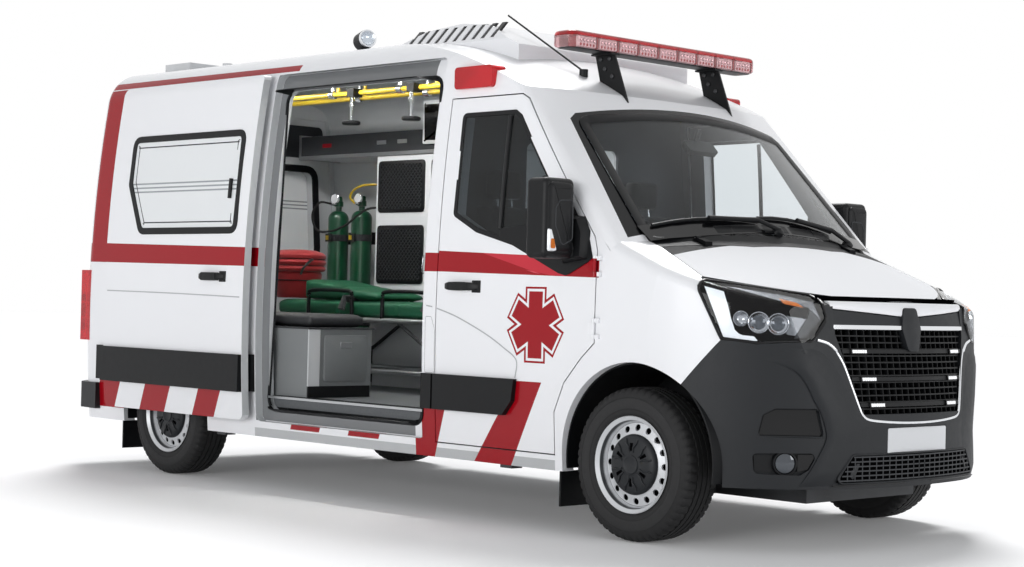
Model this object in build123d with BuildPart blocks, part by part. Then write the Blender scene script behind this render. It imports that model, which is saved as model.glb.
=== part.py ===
"""High-roof ambulance van: body panels, doors, glass, lamps, running gear and treatment space.

Frame: +X forward, +Y left, +Z up, millimetres, origin on the ground under the middle.
"""
import math
import os

from build123d import *

os.makedirs("parts", exist_ok=True)

# Overall sizes
overall_length = 5575.0
wheelbase = 3682.0
front_overhang = 869.0
half_width = 1015.0
roof_z = 2470.0
sill_z = 285.0
wall = 75.0
front_wall = 45.0
glass_thickness = 8.0

nose_x = overall_length / 2
tail_x = -overall_length / 2
front_axle_x = nose_x - front_overhang
rear_axle_x = front_axle_x - wheelbase
bumper_step = 130.0
rear_wall_x = tail_x + bumper_step

# Body surface radii and ramps
side_radius = 8000.0
waist_z = 950.0
crown_radius = 5000.0
shoulder_radius = 230.0
tail_corner = 100.0
nose_radius = 2200.0
nose_corner = 780.0
bonnet_edge_back = 74.0
bonnet_edge_z = 1094.0
bonnet_slope = 22.0
bonnet_crown = 5000.0
screen_base = 100.0
screen_base_z = 1360.0
screen_slope = 46.5
screen_crown = 3200.0
screen_foot = 15.0
cap_front = -515.0
cap_front_z = 2045.0
cap_back = -2000.0
face_lean = 82.0
face_z = 560.0
edge_round = 60.0

# Wheels and running gear
tyre_radius = 349.0
tyre_width = 225.0
rim_radius = 220.0
front_track = 1750.0
rear_track = 1730.0
arch_radius = 445.0
arch_shift = 25.0
arch_z = 366.0
arch_inner = 485.0
rear_arch_radius = 432.0
rear_arch_inner = 720.0
liner = 8.0
kingpin_y = 840.0
spindle_radius = 32.0
run_gap = 0.3

# Floors and doors
floor_top = 510.0
floor_thickness = 60.0
cab_floor_top = 640.0
gap = 6.0
swing_gap = 9.0
bulkhead_x = front_axle_x - 1385.0
bulkhead_thickness = 30.0
slide_back = 1405.0
slide_out = 90.0
door_depth = 45.0
roof_split_z = 2302.0


def fx(offset):
    """X station measured from the front axle."""
    return front_axle_x + offset


def circles_meet(y1, z1, r1, y2, z2, r2):
    """Outer meeting point of two circles in the cross-section."""
    d = math.hypot(y2 - y1, z2 - z1)
    a = (r1**2 - r2**2 + d**2) / (2 * d)
    h = math.sqrt(r1**2 - a**2)
    ym = y1 + a * (y2 - y1) / d
    zm = z1 + a * (z2 - z1) / d
    one = (ym + h * (z2 - z1) / d, zm - h * (y2 - y1) / d)
    two = (ym - h * (z2 - z1) / d, zm + h * (y2 - y1) / d)
    return max(one, two)


def side_y(z, inset=0.0):
    """Half width of the body side at height z."""
    return half_width - side_radius + math.sqrt((side_radius - inset) ** 2 - (z - waist_z) ** 2)


def section_face(x, inset, low_z):
    """Cross-section: curved sides, round shoulders and a crowned roof."""
    side_circle = (half_width - side_radius, waist_z, side_radius - inset)
    roof_circle = (0, roof_z - crown_radius, crown_radius - inset)
    top_y, top_z = circles_meet(*side_circle, *roof_circle)
    mid_z = (low_z + top_z) / 2
    foot = side_y(low_z, inset)
    mid = side_y(mid_z, inset)
    with BuildSketch(Plane.YZ.offset(x)) as face:
        with BuildLine():
            Line((-foot, low_z), (foot, low_z))
            ThreePointArc((foot, low_z), (mid, mid_z), (top_y, top_z))
            ThreePointArc((top_y, top_z), (0, roof_z - inset), (-top_y, top_z))
            ThreePointArc((-top_y, top_z), (-mid, mid_z), (-foot, low_z))
        make_face()
        fillet(face.vertices().group_by(Axis.Y)[-1], shoulder_radius - inset)
    return face.sketch


def ramp(x, z, angle, radius, inset):
    """Everything beneath a crowned ramp that rises backward at the given angle."""
    lean = math.radians(angle)
    plane = Plane(origin=(x, 0, z), x_dir=(0, 1, 0), z_dir=(-math.cos(lean), 0, math.sin(lean)))
    reach = 1.45 * half_width
    sag = radius - math.sqrt(radius**2 - reach**2)
    depth = 1.6 * overall_length
    with BuildPart() as solid:
        with BuildSketch(plane):
            with BuildLine():
                ThreePointArc((-reach, sag + inset), (0, inset), (reach, sag + inset))
                Polyline((reach, sag + inset), (reach, depth), (-reach, depth), (-reach, sag + inset))
            make_face()
        extrude(amount=1.25 * overall_length, both=True)
    return solid.part


def nose_plan(inset):
    """Plan outline: flat sides, round front corners and a bowed front."""
    bow = nose_radius - inset
    edge = half_width + 1 - inset
    tip = nose_x - inset
    corner_x = tip - bow + math.sqrt(bow**2 - edge**2)
    back_x = tail_x - 500
    with BuildSketch(Plane.XY) as face:
        with BuildLine():
            ThreePointArc((corner_x, -edge), (tip, 0), (corner_x, edge))
            Polyline((corner_x, edge), (back_x, edge), (back_x, -edge), (corner_x, -edge))
        make_face()
        fillet(face.vertices().group_by(Axis.X)[-1], nose_corner - inset)
    return face.sketch


def roof_cap(inset):
    """Space under the roof line: flat roof, then a curve down to the windscreen."""
    axis_z = roof_z - crown_radius
    x0 = fx(cap_back)
    z0 = roof_z - inset
    x1 = fx(cap_front)
    z1 = cap_front_z - inset
    radius = ((x1 - x0) ** 2 + (z0 - z1) ** 2) / (2 * (z0 - z1))
    turn = math.asin((x1 - x0) / radius)
    mid = (x0 + radius * math.sin(turn / 2), z0 - radius + radius * math.cos(turn / 2))
    x2 = x1 + 230
    z2 = z1 - 230 * math.tan(turn)
    low = axis_z + 500
    spin = Axis((0, 0, axis_z), (1, 0, 0))
    with BuildPart() as cap:
        with BuildSketch(Plane.XZ):
            with BuildLine():
                Line((tail_x - 500, z0), (x0, z0))
                ThreePointArc((x0, z0), mid, (x1, z1))
                Polyline((x1, z1), (x2, z2), (nose_x + 500, z2), (nose_x + 500, low),
                         (tail_x - 500, low), (tail_x - 500, z0))
            make_face()
        revolve(axis=spin, revolution_arc=60)
    return cap.part.rotate(spin, -30)


def hull(inset, front_inset, low_z, rounded):
    """Whole body volume set in by a wall thickness."""
    with BuildPart() as front:
        add(ramp(nose_x - bonnet_edge_back, bonnet_edge_z, bonnet_slope, bonnet_crown, front_inset))
        add(ramp(fx(screen_base), screen_base_z, screen_slope, screen_crown, front_inset))
    with BuildPart() as body:
        extrude(section_face(rear_wall_x + inset, inset, low_z), amount=nose_x - tail_x)
        if rounded:
            back = body.faces().sort_by(Axis.X)[0].edges()
            fillet(back.filter_by(lambda e: e.center().Z > low_z + 1), tail_corner)
        extrude(nose_plan(front_inset), amount=3000, mode=Mode.INTERSECT)
        add(roof_cap(inset), mode=Mode.INTERSECT)
        add(front.part, mode=Mode.INTERSECT)
        add(ramp(nose_x, face_z, face_lean, nose_radius, front_inset), mode=Mode.INTERSECT)
        if rounded:
            edges = body.edges().filter_by(lambda e: abs(e.center().Y) > 600)
            low = edges.filter_by(lambda e: e.center().X > fx(0) and bonnet_edge_z < e.center().Z < 1400)
            high = edges.filter_by(lambda e: fx(-750) < e.center().X < fx(-20) and e.center().Z > 1400)
            fillet(low + high, edge_round)
    return body.part


def common(one, two):
    with BuildPart() as result:
        add(one)
        add(two, mode=Mode.INTERSECT)
    return result.part


def minus(one, *cutters):
    with BuildPart() as result:
        add(one)
        for cutter in cutters:
            add(cutter, mode=Mode.SUBTRACT)
    return result.part


def joined(*pieces):
    with BuildPart() as result:
        for piece in pieces:
            add(piece)
    return result.part


def flip(piece):
    """Mirror image across the middle plane."""
    with BuildPart() as result:
        mirror(piece, about=Plane.XZ)
    return result.part


def outline(plane, points, corner=0.0, grow=0.0):
    with BuildSketch(plane) as face:
        with BuildLine():
            Polyline(*points, close=True)
        make_face()
        if corner:
            fillet(face.vertices(), corner)
        if grow:
            offset(amount=grow, kind=Kind.INTERSECTION, mode=Mode.REPLACE)
    return face.sketch


def slab_y(points, y0, y1, corner=0.0, grow=0.0):
    """Side-view outline (x, z) carried from y0 to y1."""
    with BuildPart() as solid:
        extrude(outline(Plane.XZ.offset(-y1), points, corner, grow), amount=y1 - y0)
    return solid.part


def slab_x(points, x0, x1, corner=0.0, grow=0.0):
    """Front-view outline (y, z) carried from x0 to x1."""
    with BuildPart() as solid:
        extrude(outline(Plane.YZ.offset(x0), points, corner, grow), amount=x1 - x0)
    return solid.part


def slab_z(points, z0, z1, corner=0.0, grow=0.0):
    """Plan outline (x, y) carried from z0 to z1."""
    with BuildPart() as solid:
        extrude(outline(Plane.XY.offset(z0), points, corner, grow), amount=z1 - z0)
    return solid.part


def block(x0, x1, y0, y1, z0, z1, corner=0.0):
    with BuildPart() as solid:
        with Locations(((x0 + x1) / 2, (y0 + y1) / 2, (z0 + z1) / 2)):
            Box(x1 - x0, y1 - y0, z1 - z0)
        if corner:
            fillet(solid.edges(), corner)
    return solid.part


def rod(start, end, radius):
    way = Vector(end) - Vector(start)
    with BuildPart() as solid:
        with BuildSketch(Plane(origin=start, z_dir=way)):
            Circle(radius)
        extrude(amount=way.length)
    return solid.part


def save(piece, name):
    piece.label = name
    export_step(piece, f"parts/{name}.step")


# Body shell
outer = hull(0.0, 0.0, sill_z, True)
inner = hull(wall, front_wall, sill_z - 100, False)
door_lining = hull(door_depth, door_depth, sill_z - 100, False)
pane_lining = hull(glass_thickness, glass_thickness, sill_z - 100, False)
shell = minus(outer, inner)
pane = minus(outer, pane_lining)

# Wheel arches: axle name, centre x, centre z, radius, inner face
arch_table = [("front", fx(arch_shift), arch_z, arch_radius, arch_inner),
              ("rear", rear_axle_x, tyre_radius, rear_arch_radius, rear_arch_inner)]
arches = []
liners = []
for axle, x, z, radius, inside in arch_table:
    cut = rod((x, -1100, z), (x, -inside, z), radius)
    well = block(x - radius, x + radius, -1100, -inside, 0, z)
    arches += [cut, well, flip(cut), flip(well)]
    tunnel = minus(rod((x, -965, z), (x, -inside, z), radius), rod((x, -1000, z), (x, -inside - liner, z),
                                                                   radius - liner))
    tunnel = minus(tunnel, block(x - 500, x + 500, -1100, 0, -200, 300),
                   block(x - 190, x + 190, -inside - 2 * liner, 0, 0, 545))
    liners += [tunnel, flip(tunnel)]
shell = minus(shell, *arches)

# Rear doors
door_top = 2250.0
rear_outline = [(4.5, floor_top + gap), (897, floor_top + gap), (897, 1450), (800, door_top),
                (4.5, door_top)]
rear_opening = [(-903, 0), (903, 0), (903, 1450), (805, door_top + gap), (-805, door_top + gap),
                (-903, 1450)]
rear_pane = [(150, 1330), (740, 1330), (700, 1900), (150, 1900)]
tail_wall = (rear_wall_x - 5, rear_wall_x + wall)
rear_panel = common(shell, slab_x(rear_outline, *tail_wall))
rear_cut = slab_x(rear_pane, *tail_wall, corner=60)
rear_panel = minus(rear_panel, rear_cut)
rear_glass = common(pane, rear_cut)
shell = minus(shell, slab_x(rear_opening, *tail_wall))

rear_hinge_x = rear_wall_x - 10
rear_hinge_y = 912.0
rear_hinge_zs = (700.0, 1050.0, 1400.0)
hinge_radius = 9.0
pin_radius = 5.0
barrel = 50.0
lug = 20.0
lug_gap = 2.0


def rear_hinges(side):
    """Door leaves and body leaves of one rear door's hinges."""
    y = side * rear_hinge_y
    leaf_in = sorted((y, y - side * 60))
    leaf_out = sorted((y, y + side * 32))
    door_side = []
    body_side = []
    for z in rear_hinge_zs:
        leaf = block(rear_hinge_x + 3, rear_wall_x, *leaf_in, z, z + barrel)
        roll = joined(leaf, rod((rear_hinge_x, y, z), (rear_hinge_x, y, z + barrel), hinge_radius))
        door_side.append(minus(roll, rod((rear_hinge_x, y, z), (rear_hinge_x, y, z + barrel),
                                         pin_radius + run_gap)))
        low = z - lug_gap - lug
        high = z + barrel + lug_gap
        parts = [rod((rear_hinge_x, y, low), (rear_hinge_x, y, high + lug), pin_radius)]
        for base in (low, high):
            parts.append(rod((rear_hinge_x, y, base), (rear_hinge_x, y, base + lug), hinge_radius))
            parts.append(block(rear_hinge_x + 3, rear_wall_x + 22, *leaf_out, base, base + lug))
        body_side.append(joined(*parts))
    return joined(*door_side), joined(*body_side)


for side, name in ((-1, "right"), (1, "left")):
    leaf, fixed = rear_hinges(side)
    panel = flip(rear_panel) if side < 0 else rear_panel
    save(joined(panel, leaf), f"rear_door_{name}")
    save(flip(rear_glass) if side < 0 else rear_glass, f"rear_door_glass_{name}")
    if side < 0:
        hinge_right = fixed
    else:
        hinge_left = fixed

# Windscreen
lean = math.radians(screen_slope)
screen_plane = Plane(origin=(fx(screen_base), 0, screen_base_z), x_dir=(0, 1, 0),
                     z_dir=(math.sin(lean), 0, math.cos(lean)))
screen_points = [(-850, 75), (850, 75), (770, 915), (-770, 915)]
with BuildPart() as screen_prism:
    extrude(outline(screen_plane, screen_points, corner=70), amount=400, both=True)
cowl_ramp = ramp(nose_x - bonnet_edge_back, bonnet_edge_z, bonnet_slope, bonnet_crown, -screen_foot)
screen_zone = minus(screen_prism.part, cowl_ramp)
windscreen = common(pane, screen_zone)
shell = minus(shell, screen_zone)

# Front doors
door_points = [(-1295, 362), (-470, 362), (-470, 560), (-405, 700), (-300, 815), (-215, 890), (-215, 1310),
               (-235, 1375), (-760, 2045), (-800, 2068), (-1295, 2068)]
door_line = [(fx(x), z) for x, z in door_points]
window_points = [(-1195, 1985), (-1195, 1490), (-1030, 1410), (-335, 1240), (-310, 1300), (-365, 1400),
                 (-790, 1960), (-830, 1985)]
window_line = [(fx(x), z) for x, z in window_points]
cab_side = (-1100, -700)
door_hinge_x = fx(-212)
door_hinge_radius = 8.5
door_hinge_y = half_width + door_hinge_radius + 1.5
door_hinge_zs = (930.0, 1215.0)

door_cut = slab_y(door_line, *cab_side)
door_space = slab_y(door_line, *cab_side, grow=gap)
window_cut = slab_y(window_line, *cab_side, corner=12)
door_panel = minus(common(shell, door_cut), window_cut)
door_glass = common(pane, window_cut)
shell = minus(shell, door_space, flip(door_space))


def door_hinge(side, z, radius, base, top):
    point = (door_hinge_x, side * door_hinge_y, z + base)
    return rod(point, (point[0], point[1], z + top), radius)


def hinge_leaf(z, base, top, way):
    """Flat leaf that ties a hinge roll to the panel behind (way -1) or ahead (way 1)."""
    ends = sorted((door_hinge_x + way * 2, door_hinge_x + way * 34))
    return block(*ends, -door_hinge_y, -door_hinge_y + 26, z + base, z + top)


door_rolls = []
for z in door_hinge_zs:
    door_rolls += [door_hinge(-1, z, door_hinge_radius, 0, barrel), hinge_leaf(z, 0, barrel, -1)]
door_bores = [door_hinge(-1, z, pin_radius + run_gap, 0, barrel) for z in door_hinge_zs]
post_lugs = []
for z in door_hinge_zs:
    for base in (-lug_gap - lug, barrel + lug_gap):
        post_lugs.append(door_hinge(-1, z, door_hinge_radius, base, base + lug))
        post_lugs.append(hinge_leaf(z, base, base + lug, 1))
    post_lugs.append(door_hinge(-1, z, pin_radius, -lug_gap - lug, barrel + lug_gap + lug))
door_rolls = minus(minus(joined(*door_rolls), *door_bores), outer)

# Sliding door, standing open along the side
slide_front = fx(-1385)
slide_length = 1395.0
slide_low = 375.0
slide_high = 2288.0
flange = 62.0
head_flange = 90.0
slide_points = [(slide_front, slide_low), (slide_front, slide_high),
                (slide_front - slide_length, slide_high), (slide_front - slide_length, slide_low)]
well_points = [(slide_front - flange, slide_low + flange), (slide_front - flange, slide_high - head_flange),
               (slide_front - slide_length + flange, slide_high - head_flange),
               (slide_front - slide_length + flange, slide_low + flange)]
pane_points = [(-1490, 1968), (-2575, 1968), (-2575, 1700), (-2430, 1420), (-1490, 1420)]
pane_line = [(fx(x), z) for x, z in pane_points]
slide_side = (-1100, -780)
slide_skin = minus(outer, door_lining)
slide_cut = slab_y(slide_points, *slide_side, corner=40)
slide_glass_cut = slab_y(pane_line, *slide_side, corner=45)
slide_shift = Location((-slide_back, -slide_out, 0))
sliding_door = minus(common(slide_skin, slide_cut), slide_glass_cut, *arches).moved(slide_shift)
slide_glass = common(pane, slide_glass_cut).moved(slide_shift)
slide_space = common(slide_skin, slab_y(slide_points, *slide_side, corner=40, grow=gap))
slide_well = slab_y(well_points, *slide_side, corner=60)
shell = minus(shell, slide_space, slide_well)

# Left rear window
left_pane = flip(slide_glass_cut)
left_glass = common(pane, left_pane)
shell = minus(shell, left_pane)

# Roof, sides and nose
roof_zone = joined(block(rear_wall_x - 100, fx(-300), -1100, 1100, roof_split_z, 2700),
                   block(bulkhead_x, fx(-300), -830, 830, 1900, 2700),
                   block(rear_wall_x - 100, rear_wall_x + wall + 50, -790, 790, door_top - 50, 2700))
roof = common(shell, roof_zone)
shell = minus(shell, roof_zone)
nose_line = [(fx(-467), 0), (fx(-467), 559), (fx(-402), 698), (fx(-298), 813), (fx(-212), 889),
             (fx(-212), 1372), (fx(400), 1500), (nose_x + 100, 1500), (nose_x + 100, 0)]
nose_zone = slab_y(nose_line, -1200, 1200)
nose = common(shell, nose_zone)
sides = minus(shell, nose_zone)
screen_sill_zone = block(fx(-120), fx(120), -835, 835, 1300, 1500)
screen_sill = common(sides, screen_sill_zone)
sides = minus(sides, screen_sill_zone)
side_left = common(sides, block(tail_x, nose_x, 0, 1200, 0, 2700))
side_right = common(sides, block(tail_x, nose_x, -1200, 0, 0, 2700))

# Bonnet and cowl
bonnet_hinge_x = fx(12)
bonnet_hinge_y = 560.0
bonnet_line = [(20, 820), (330, 885), (390, 1150), (1000, 1150), (1000, -1150), (390, -1150), (330, -885),
               (20, -820), (130, -300), (130, 300)]
bonnet_plan = [(fx(x), y) for x, y in bonnet_line]
lamp_line_drop = 0.21
lamp_line_x = 367.0
lamp_line_z = 1192.0


def lamp_line(x):
    return lamp_line_z - lamp_line_drop * (x - lamp_line_x)


bonnet_side = [(fx(-100), lamp_line(-100)), (fx(1000), lamp_line(1000)), (fx(1000), 1700), (fx(-100), 1700)]
bonnet_zone = common(slab_z(bonnet_plan, 0, 2000), slab_y(bonnet_side, -1200, 1200))
bonnet_space = common(slab_z(bonnet_plan, 0, 2000, grow=gap), slab_y(bonnet_side, -1200, 1200, grow=gap))
bonnet = common(nose, bonnet_zone)
nose = minus(nose, bonnet_space)
cowl_line = [(-300, 860), (26, 826), (140, 300), (140, -300), (26, -826), (-300, -860)]
cowl_zone = slab_z([(fx(x), y) for x, y in cowl_line], 1100, 1700)
cowl = joined(common(nose, cowl_zone), screen_sill)
nose = minus(nose, cowl_zone)
bonnet_top = bonnet_edge_z + (front_axle_x - bonnet_hinge_x + front_overhang - bonnet_edge_back) * math.tan(
    math.radians(bonnet_slope))
bonnet_hinge_z = bonnet_top - bonnet_hinge_y**2 / (2 * bonnet_crown) + 4


def bonnet_hinge(y, radius, half):
    return rod((bonnet_hinge_x, y - half, bonnet_hinge_z), (bonnet_hinge_x, y + half, bonnet_hinge_z), radius)


roll_half = 25.0
arm_length = 60.0
for side in (-1, 1):
    y = side * bonnet_hinge_y
    arm = slab_y([(bonnet_hinge_x, bonnet_hinge_z - 6), (bonnet_hinge_x, bonnet_hinge_z + 8),
                  (bonnet_hinge_x + arm_length, bonnet_hinge_z - 14),
                  (bonnet_hinge_x + arm_length, bonnet_hinge_z - 34)], y - roll_half, y + roll_half)
    bonnet = joined(bonnet, arm, bonnet_hinge(y, 12, roll_half))
    bonnet = minus(bonnet, bonnet_hinge(y, pin_radius + run_gap, roll_half))
    pocket = block(bonnet_hinge_x - 18, bonnet_hinge_x + 140, y - roll_half - 3, y + roll_half + 3,
                   bonnet_hinge_z - 60, bonnet_hinge_z + 60)
    cowl = minus(cowl, pocket)
    cowl = joined(cowl, bonnet_hinge(y, pin_radius, roll_half + 12))

# Headlamps, grille and bumper
slant = math.sqrt(0.5)
lamp_points = [(-434, 1160), (-332, 927), (-140, 915), (76, 927), (138, 1032), (95, 1130), (0, 1160),
               (-391, 1230)]
lamp_plane = Plane(origin=(fx(0), 0, 0), x_dir=(slant, slant, 0), z_dir=(slant, -slant, 0))
with BuildPart() as lamp_prism:
    extrude(outline(lamp_plane, [(s, z) for s, z in lamp_points]), amount=1400)
lamp_right = common(nose, lamp_prism.part)
headlamps = joined(lamp_right, flip(lamp_right))
nose = minus(nose, lamp_prism.part, flip(lamp_prism.part))

grille_points = [(-500, 1150), (500, 1150), (500, 960), (380, 610), (-380, 610), (-500, 960)]
grille_zone = slab_x(grille_points, fx(450), nose_x + 100)
grille = common(nose, grille_zone)
nose = minus(nose, grille_zone)
bumper_line = [(fx(200), 600), (fx(284), 721), (fx(451), 927), (fx(600), 927), (fx(600), 1150),
               (nose_x + 100, 1150), (nose_x + 100, 0), (fx(200), 0)]
bumper_zone = slab_y(bumper_line, -1200, 1200)
front_bumper = common(nose, bumper_zone)
fenders = minus(nose, bumper_zone)
slot = slab_x([(-450, 320), (450, 320), (450, 400), (-450, 400)], fx(400), nose_x + 100, corner=30)
# Corner pockets of the bumper: name, floor distance, outline
scoop_turn = math.radians(52)
scoop_plane = Plane(origin=(fx(0), 0, 0), x_dir=(math.cos(scoop_turn), math.sin(scoop_turn), 0),
                    z_dir=(math.sin(scoop_turn), -math.cos(scoop_turn), 0))
pocket_table = [("scoop", 940.0, [(-284, 511), (-262, 609), (-207, 636), (-14, 637), (18, 508)]),
                ("fog lamp", 950.0, [(-305, 440), (-10, 443), (-51, 370), (-92, 346), (-292, 350)])]
pockets = []
for pocket_name, floor_at, points in pocket_table:
    with BuildPart() as pocket_cut:
        extrude(outline(scoop_plane.offset(floor_at), points, corner=22), amount=300)
    pockets += [pocket_cut.part, flip(pocket_cut.part)]
plate_half = 232.0
plate_low = 428.0
plate_high = 552.0
plate_recess = slab_x([(-plate_half, plate_low), (plate_half, plate_low), (plate_half, plate_high),
                       (-plate_half, plate_high)], nose_x - 15, nose_x + 100, corner=8)
front_bumper = minus(front_bumper, slot, plate_recess, *pockets)
lower_grille = common(common(minus(outer, inner), slot), hull(20.0, 20.0, sill_z, False))
for row in range(4):
    z = 655 + 95 * row
    half = 330 + 35 * row
    slot_points = [(-half, z), (half, z), (half, z + 62), (-half, z + 62)]
    grille = minus(grille, slab_x(slot_points, fx(400), nose_x + 100, corner=12))
grille = joined(grille, lower_grille)

fender_right = common(fenders, block(tail_x, nose_x, -1200, -640, 0, 2000))
fender_right = joined(fender_right, *post_lugs)
fenders = joined(fender_right, flip(fender_right))

side_right = joined(side_right, hinge_right)
side_left = joined(side_left, hinge_left)

for piece, name in ((side_left, "side_left"), (side_right, "side_right"), (roof, "roof"),
                    (fenders, "fenders"), (cowl, "cowl"), (front_bumper, "front_bumper"),
                    (grille, "grille"), (headlamps, "headlamps"), (windscreen, "windscreen"),
                    (bonnet, "bonnet"), (sliding_door, "sliding_door")):
    save(piece, name)
save(joined(slide_glass, left_glass), "side_glass")
save(door_panel, "front_door_right")
save(flip(door_panel), "front_door_left")
save(door_glass, "front_door_glass_right")
save(flip(door_glass), "front_door_glass_left")


def on_skin(points, out_y, corner=0.0):
    """Side-view outline standing on the right-hand skin out to out_y."""
    return minus(slab_y(points, -out_y, -860, corner), outer)


def along(*pairs):
    return [(fx(x), z) for x, z in pairs]


# Door trim: mouldings, handles and mirrors
mould_low = 525.0
mould_high = 700.0
mould_out = 1035.0
door_mould = on_skin(along((-1290, mould_low), (-790, mould_low), (-730, mould_low + 70), (-715, mould_high),
                           (-1290, mould_high)), mould_out)
door_handle = on_skin(along((-1190, 1116), (-1050, 1116), (-1050, 1156), (-1190, 1156)), 1042, corner=10)
mirror_head = block(fx(-462), fx(-325), -1235, -1042, 1270, 1640, corner=28)
mirror_arms = [rod((fx(x), -960, z), (fx(-370), -1080, z), 17) for x, z in ((-272, 1320), (-335, 1428))]
door_solid = minus(common(outer, door_cut), inner)
door_mirror = joined(mirror_head, *[minus(arm, door_solid, block(fx(-500), fx(-100), -960, -800, 1200, 1600))
                               for arm in mirror_arms])
door_trim = joined(door_mould, door_handle, door_mirror, door_rolls)
save(door_trim, "front_door_trim_right")
save(flip(door_trim), "front_door_trim_left")

slide_mould = on_skin([(slide_front - slide_length + 3, 530), (slide_front - 3, 530), (slide_front - 3, 735),
                       (slide_front - slide_length + 3, 735)], mould_out)
slide_handle = on_skin(along((-1755, 1140), (-1615, 1140), (-1615, 1185), (-1755, 1185)), 1042, corner=10)
slide_fix = joined(slide_mould, slide_handle).moved(slide_shift)
slide_arms = []
for z0, z1 in ((400, 450), (1275, 1330), (2090, 2140)):
    arm_stop = -side_y((z0 + z1) / 2) - slide_out + door_depth - 12
    arm = block(fx(-2960), fx(-2870), arm_stop, -800, z0, z1)
    slide_arms.append(minus(arm, outer, sliding_door))
rail = on_skin(along((-4300, 1255), (-2965, 1255), (-2965, 1290), (-4300, 1290)), half_width + 8)
save(joined(slide_fix, *slide_arms, rail), "sliding_door_trim")

# Fixed trim: mouldings, mud flaps and arch liners
fixed_mould = []
for side_name, x0, x1, low, high in (("right post", -1378, -1302, 525, 700),
                                     ("right rear", -4370, -2792, 530, 735),
                                     ("left", -4370, -1302, 530, 735)):
    strip = minus(on_skin(along((x0, low), (x1, low), (x1, high), (x0, high)), mould_out), *arches)
    fixed_mould.append(flip(strip) if side_name == "left" else strip)
flaps = []
for x in (fx(-440), rear_axle_x - rear_arch_radius - 20):
    flap = block(x, x + 10, -985, -760, 120, sill_z)
    flaps += [flap, flip(flap)]
save(joined(*fixed_mould, *flaps, *liners), "lower_trim")

# Rear bumper and red lamps
rear_plan = [(tail_x, -820), (tail_x, 820), (tail_x + 45, 930), (tail_x + 140, 1012), (tail_x + 330, 1030),
             (tail_x + 330, -1030), (tail_x + 140, -1012), (tail_x + 45, -930)]
rear_bumper = minus(slab_z(rear_plan, 345, 503), outer, block(rear_wall_x, 0, -950, 950, 0, 800))
save(rear_bumper, "rear_bumper")
tail_lamp = minus(block(rear_wall_x - 12, rear_wall_x + 90, 952, 1016, 760, 1190), outer)
corner_lamp = on_skin(along((-1270, 2115), (-1000, 2115), (-1000, 2225), (-1270, 2225)), 955, corner=20)
save(joined(tail_lamp, flip(tail_lamp), corner_lamp, flip(corner_lamp)), "red_lamps")

# Roof light bar, fittings and fairing
bar_low = 2315.0
bar_high = 2405.0
bar_half = 715.0
light_bar = slab_z([(fx(-850), -bar_half), (fx(-850), bar_half), (fx(-690), bar_half), (fx(-690), -bar_half)],
                   bar_low, bar_high, corner=60)
save(light_bar, "light_bar")
bracket_side = along((-830, bar_low), (-700, bar_low), (-600, 2060), (-760, 2060))
bracket = minus(slab_y(bracket_side, -405, -395), outer)
aerial = minus(joined(rod((fx(-864), -450, 2100), (fx(-864), -450, 2240), 22),
                      rod((fx(-864), -450, 2230), (fx(-1420), -450, 2560), 5)), outer)
search = minus(joined(rod((fx(-2470), -520, 2300), (fx(-2500), -515, 2500), 18),
                      rod((fx(-2550), -505, 2500), (fx(-2480), -525, 2512), 52)), outer)
vent = minus(block(fx(-4600), fx(-4330), -435, -165, 2350, 2520), outer)
dome = minus(rod((fx(-3975), -400, 2350), (fx(-3975), -400, 2490), 30), outer)
save(joined(bracket, flip(bracket), aerial, search, vent, dome), "roof_fittings")
fairing_side = along((-2100, 2300), (-2100, 2425), (-1930, 2505), (-1680, 2528), (-1430, 2500), (-1130, 2370),
                     (-1130, 2200))
fairing_front = [(-650, 2200), (-650, 2405), (-470, 2600), (470, 2600), (650, 2405), (650, 2200)]
fairing = minus(common(slab_y(fairing_side, -700, 700), slab_x(fairing_front, fx(-2200), fx(-1000))), outer)
vent_count = 10
vent_pitch = 72.0
vent_width = 30.0
vent_face = [(700, 2420), (612, 2420), (530, 2509), (700, 2509)]
vents = []
for index in range(vent_count):
    x = fx(-2010) + index * vent_pitch
    vent_slot = slab_x(vent_face, x, x + vent_width)
    vents += [vent_slot, flip(vent_slot)]
fairing = minus(fairing, *vents)
save(fairing, "roof_unit")

# Floor, bulkhead and cab
wide = 1100.0
load_floor = common(inner, block(rear_wall_x, bulkhead_x + bulkhead_thickness, -wide, wide,
                                 floor_top - floor_thickness, floor_top))
cab_back = bulkhead_x + bulkhead_thickness
cab_floor = common(inner, block(cab_back, fx(-110), -wide, wide, floor_top - floor_thickness, cab_floor_top))
cab_hollow = block(cab_back + 40, fx(-150), -wide, wide, 0, cab_floor_top - 50)
firewall = common(inner, block(fx(-150), fx(-110), -wide, wide, floor_top - floor_thickness, 1330))
rear_sill = block(rear_wall_x, rear_wall_x + wall + 1, -900, 900, floor_top - floor_thickness, floor_top)
floor_pan = minus(joined(load_floor, minus(cab_floor, cab_hollow), firewall, rear_sill), *arches)
save(floor_pan, "floor_pan")
bulkhead = common(inner, block(bulkhead_x, cab_back, -wide, wide, floor_top, 2700))
hatch_points = [(-350, 1500), (350, 1500), (350, 1900), (-350, 1900)]
hatch = slab_x(hatch_points, bulkhead_x - 10, cab_back + 10, corner=40)
save(minus(bulkhead, hatch), "bulkhead")
wheel_at = Vector(fx(-600), 470, 1190)
wheel_axis = Vector(-0.82, 0, 0.57).normalized()
dash_side = along((-150, 1310), (-150, 980), (-400, 950), (-480, 1090), (-430, 1240), (-260, 1330))
dash = slab_y(dash_side, -915, 915)
column = rod(tuple(wheel_at - wheel_axis * 330), tuple(wheel_at - wheel_axis * 40.3), 28)
save(joined(dash, column), "dashboard")
wheel_plane = Plane(origin=tuple(wheel_at), z_dir=wheel_axis)
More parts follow.
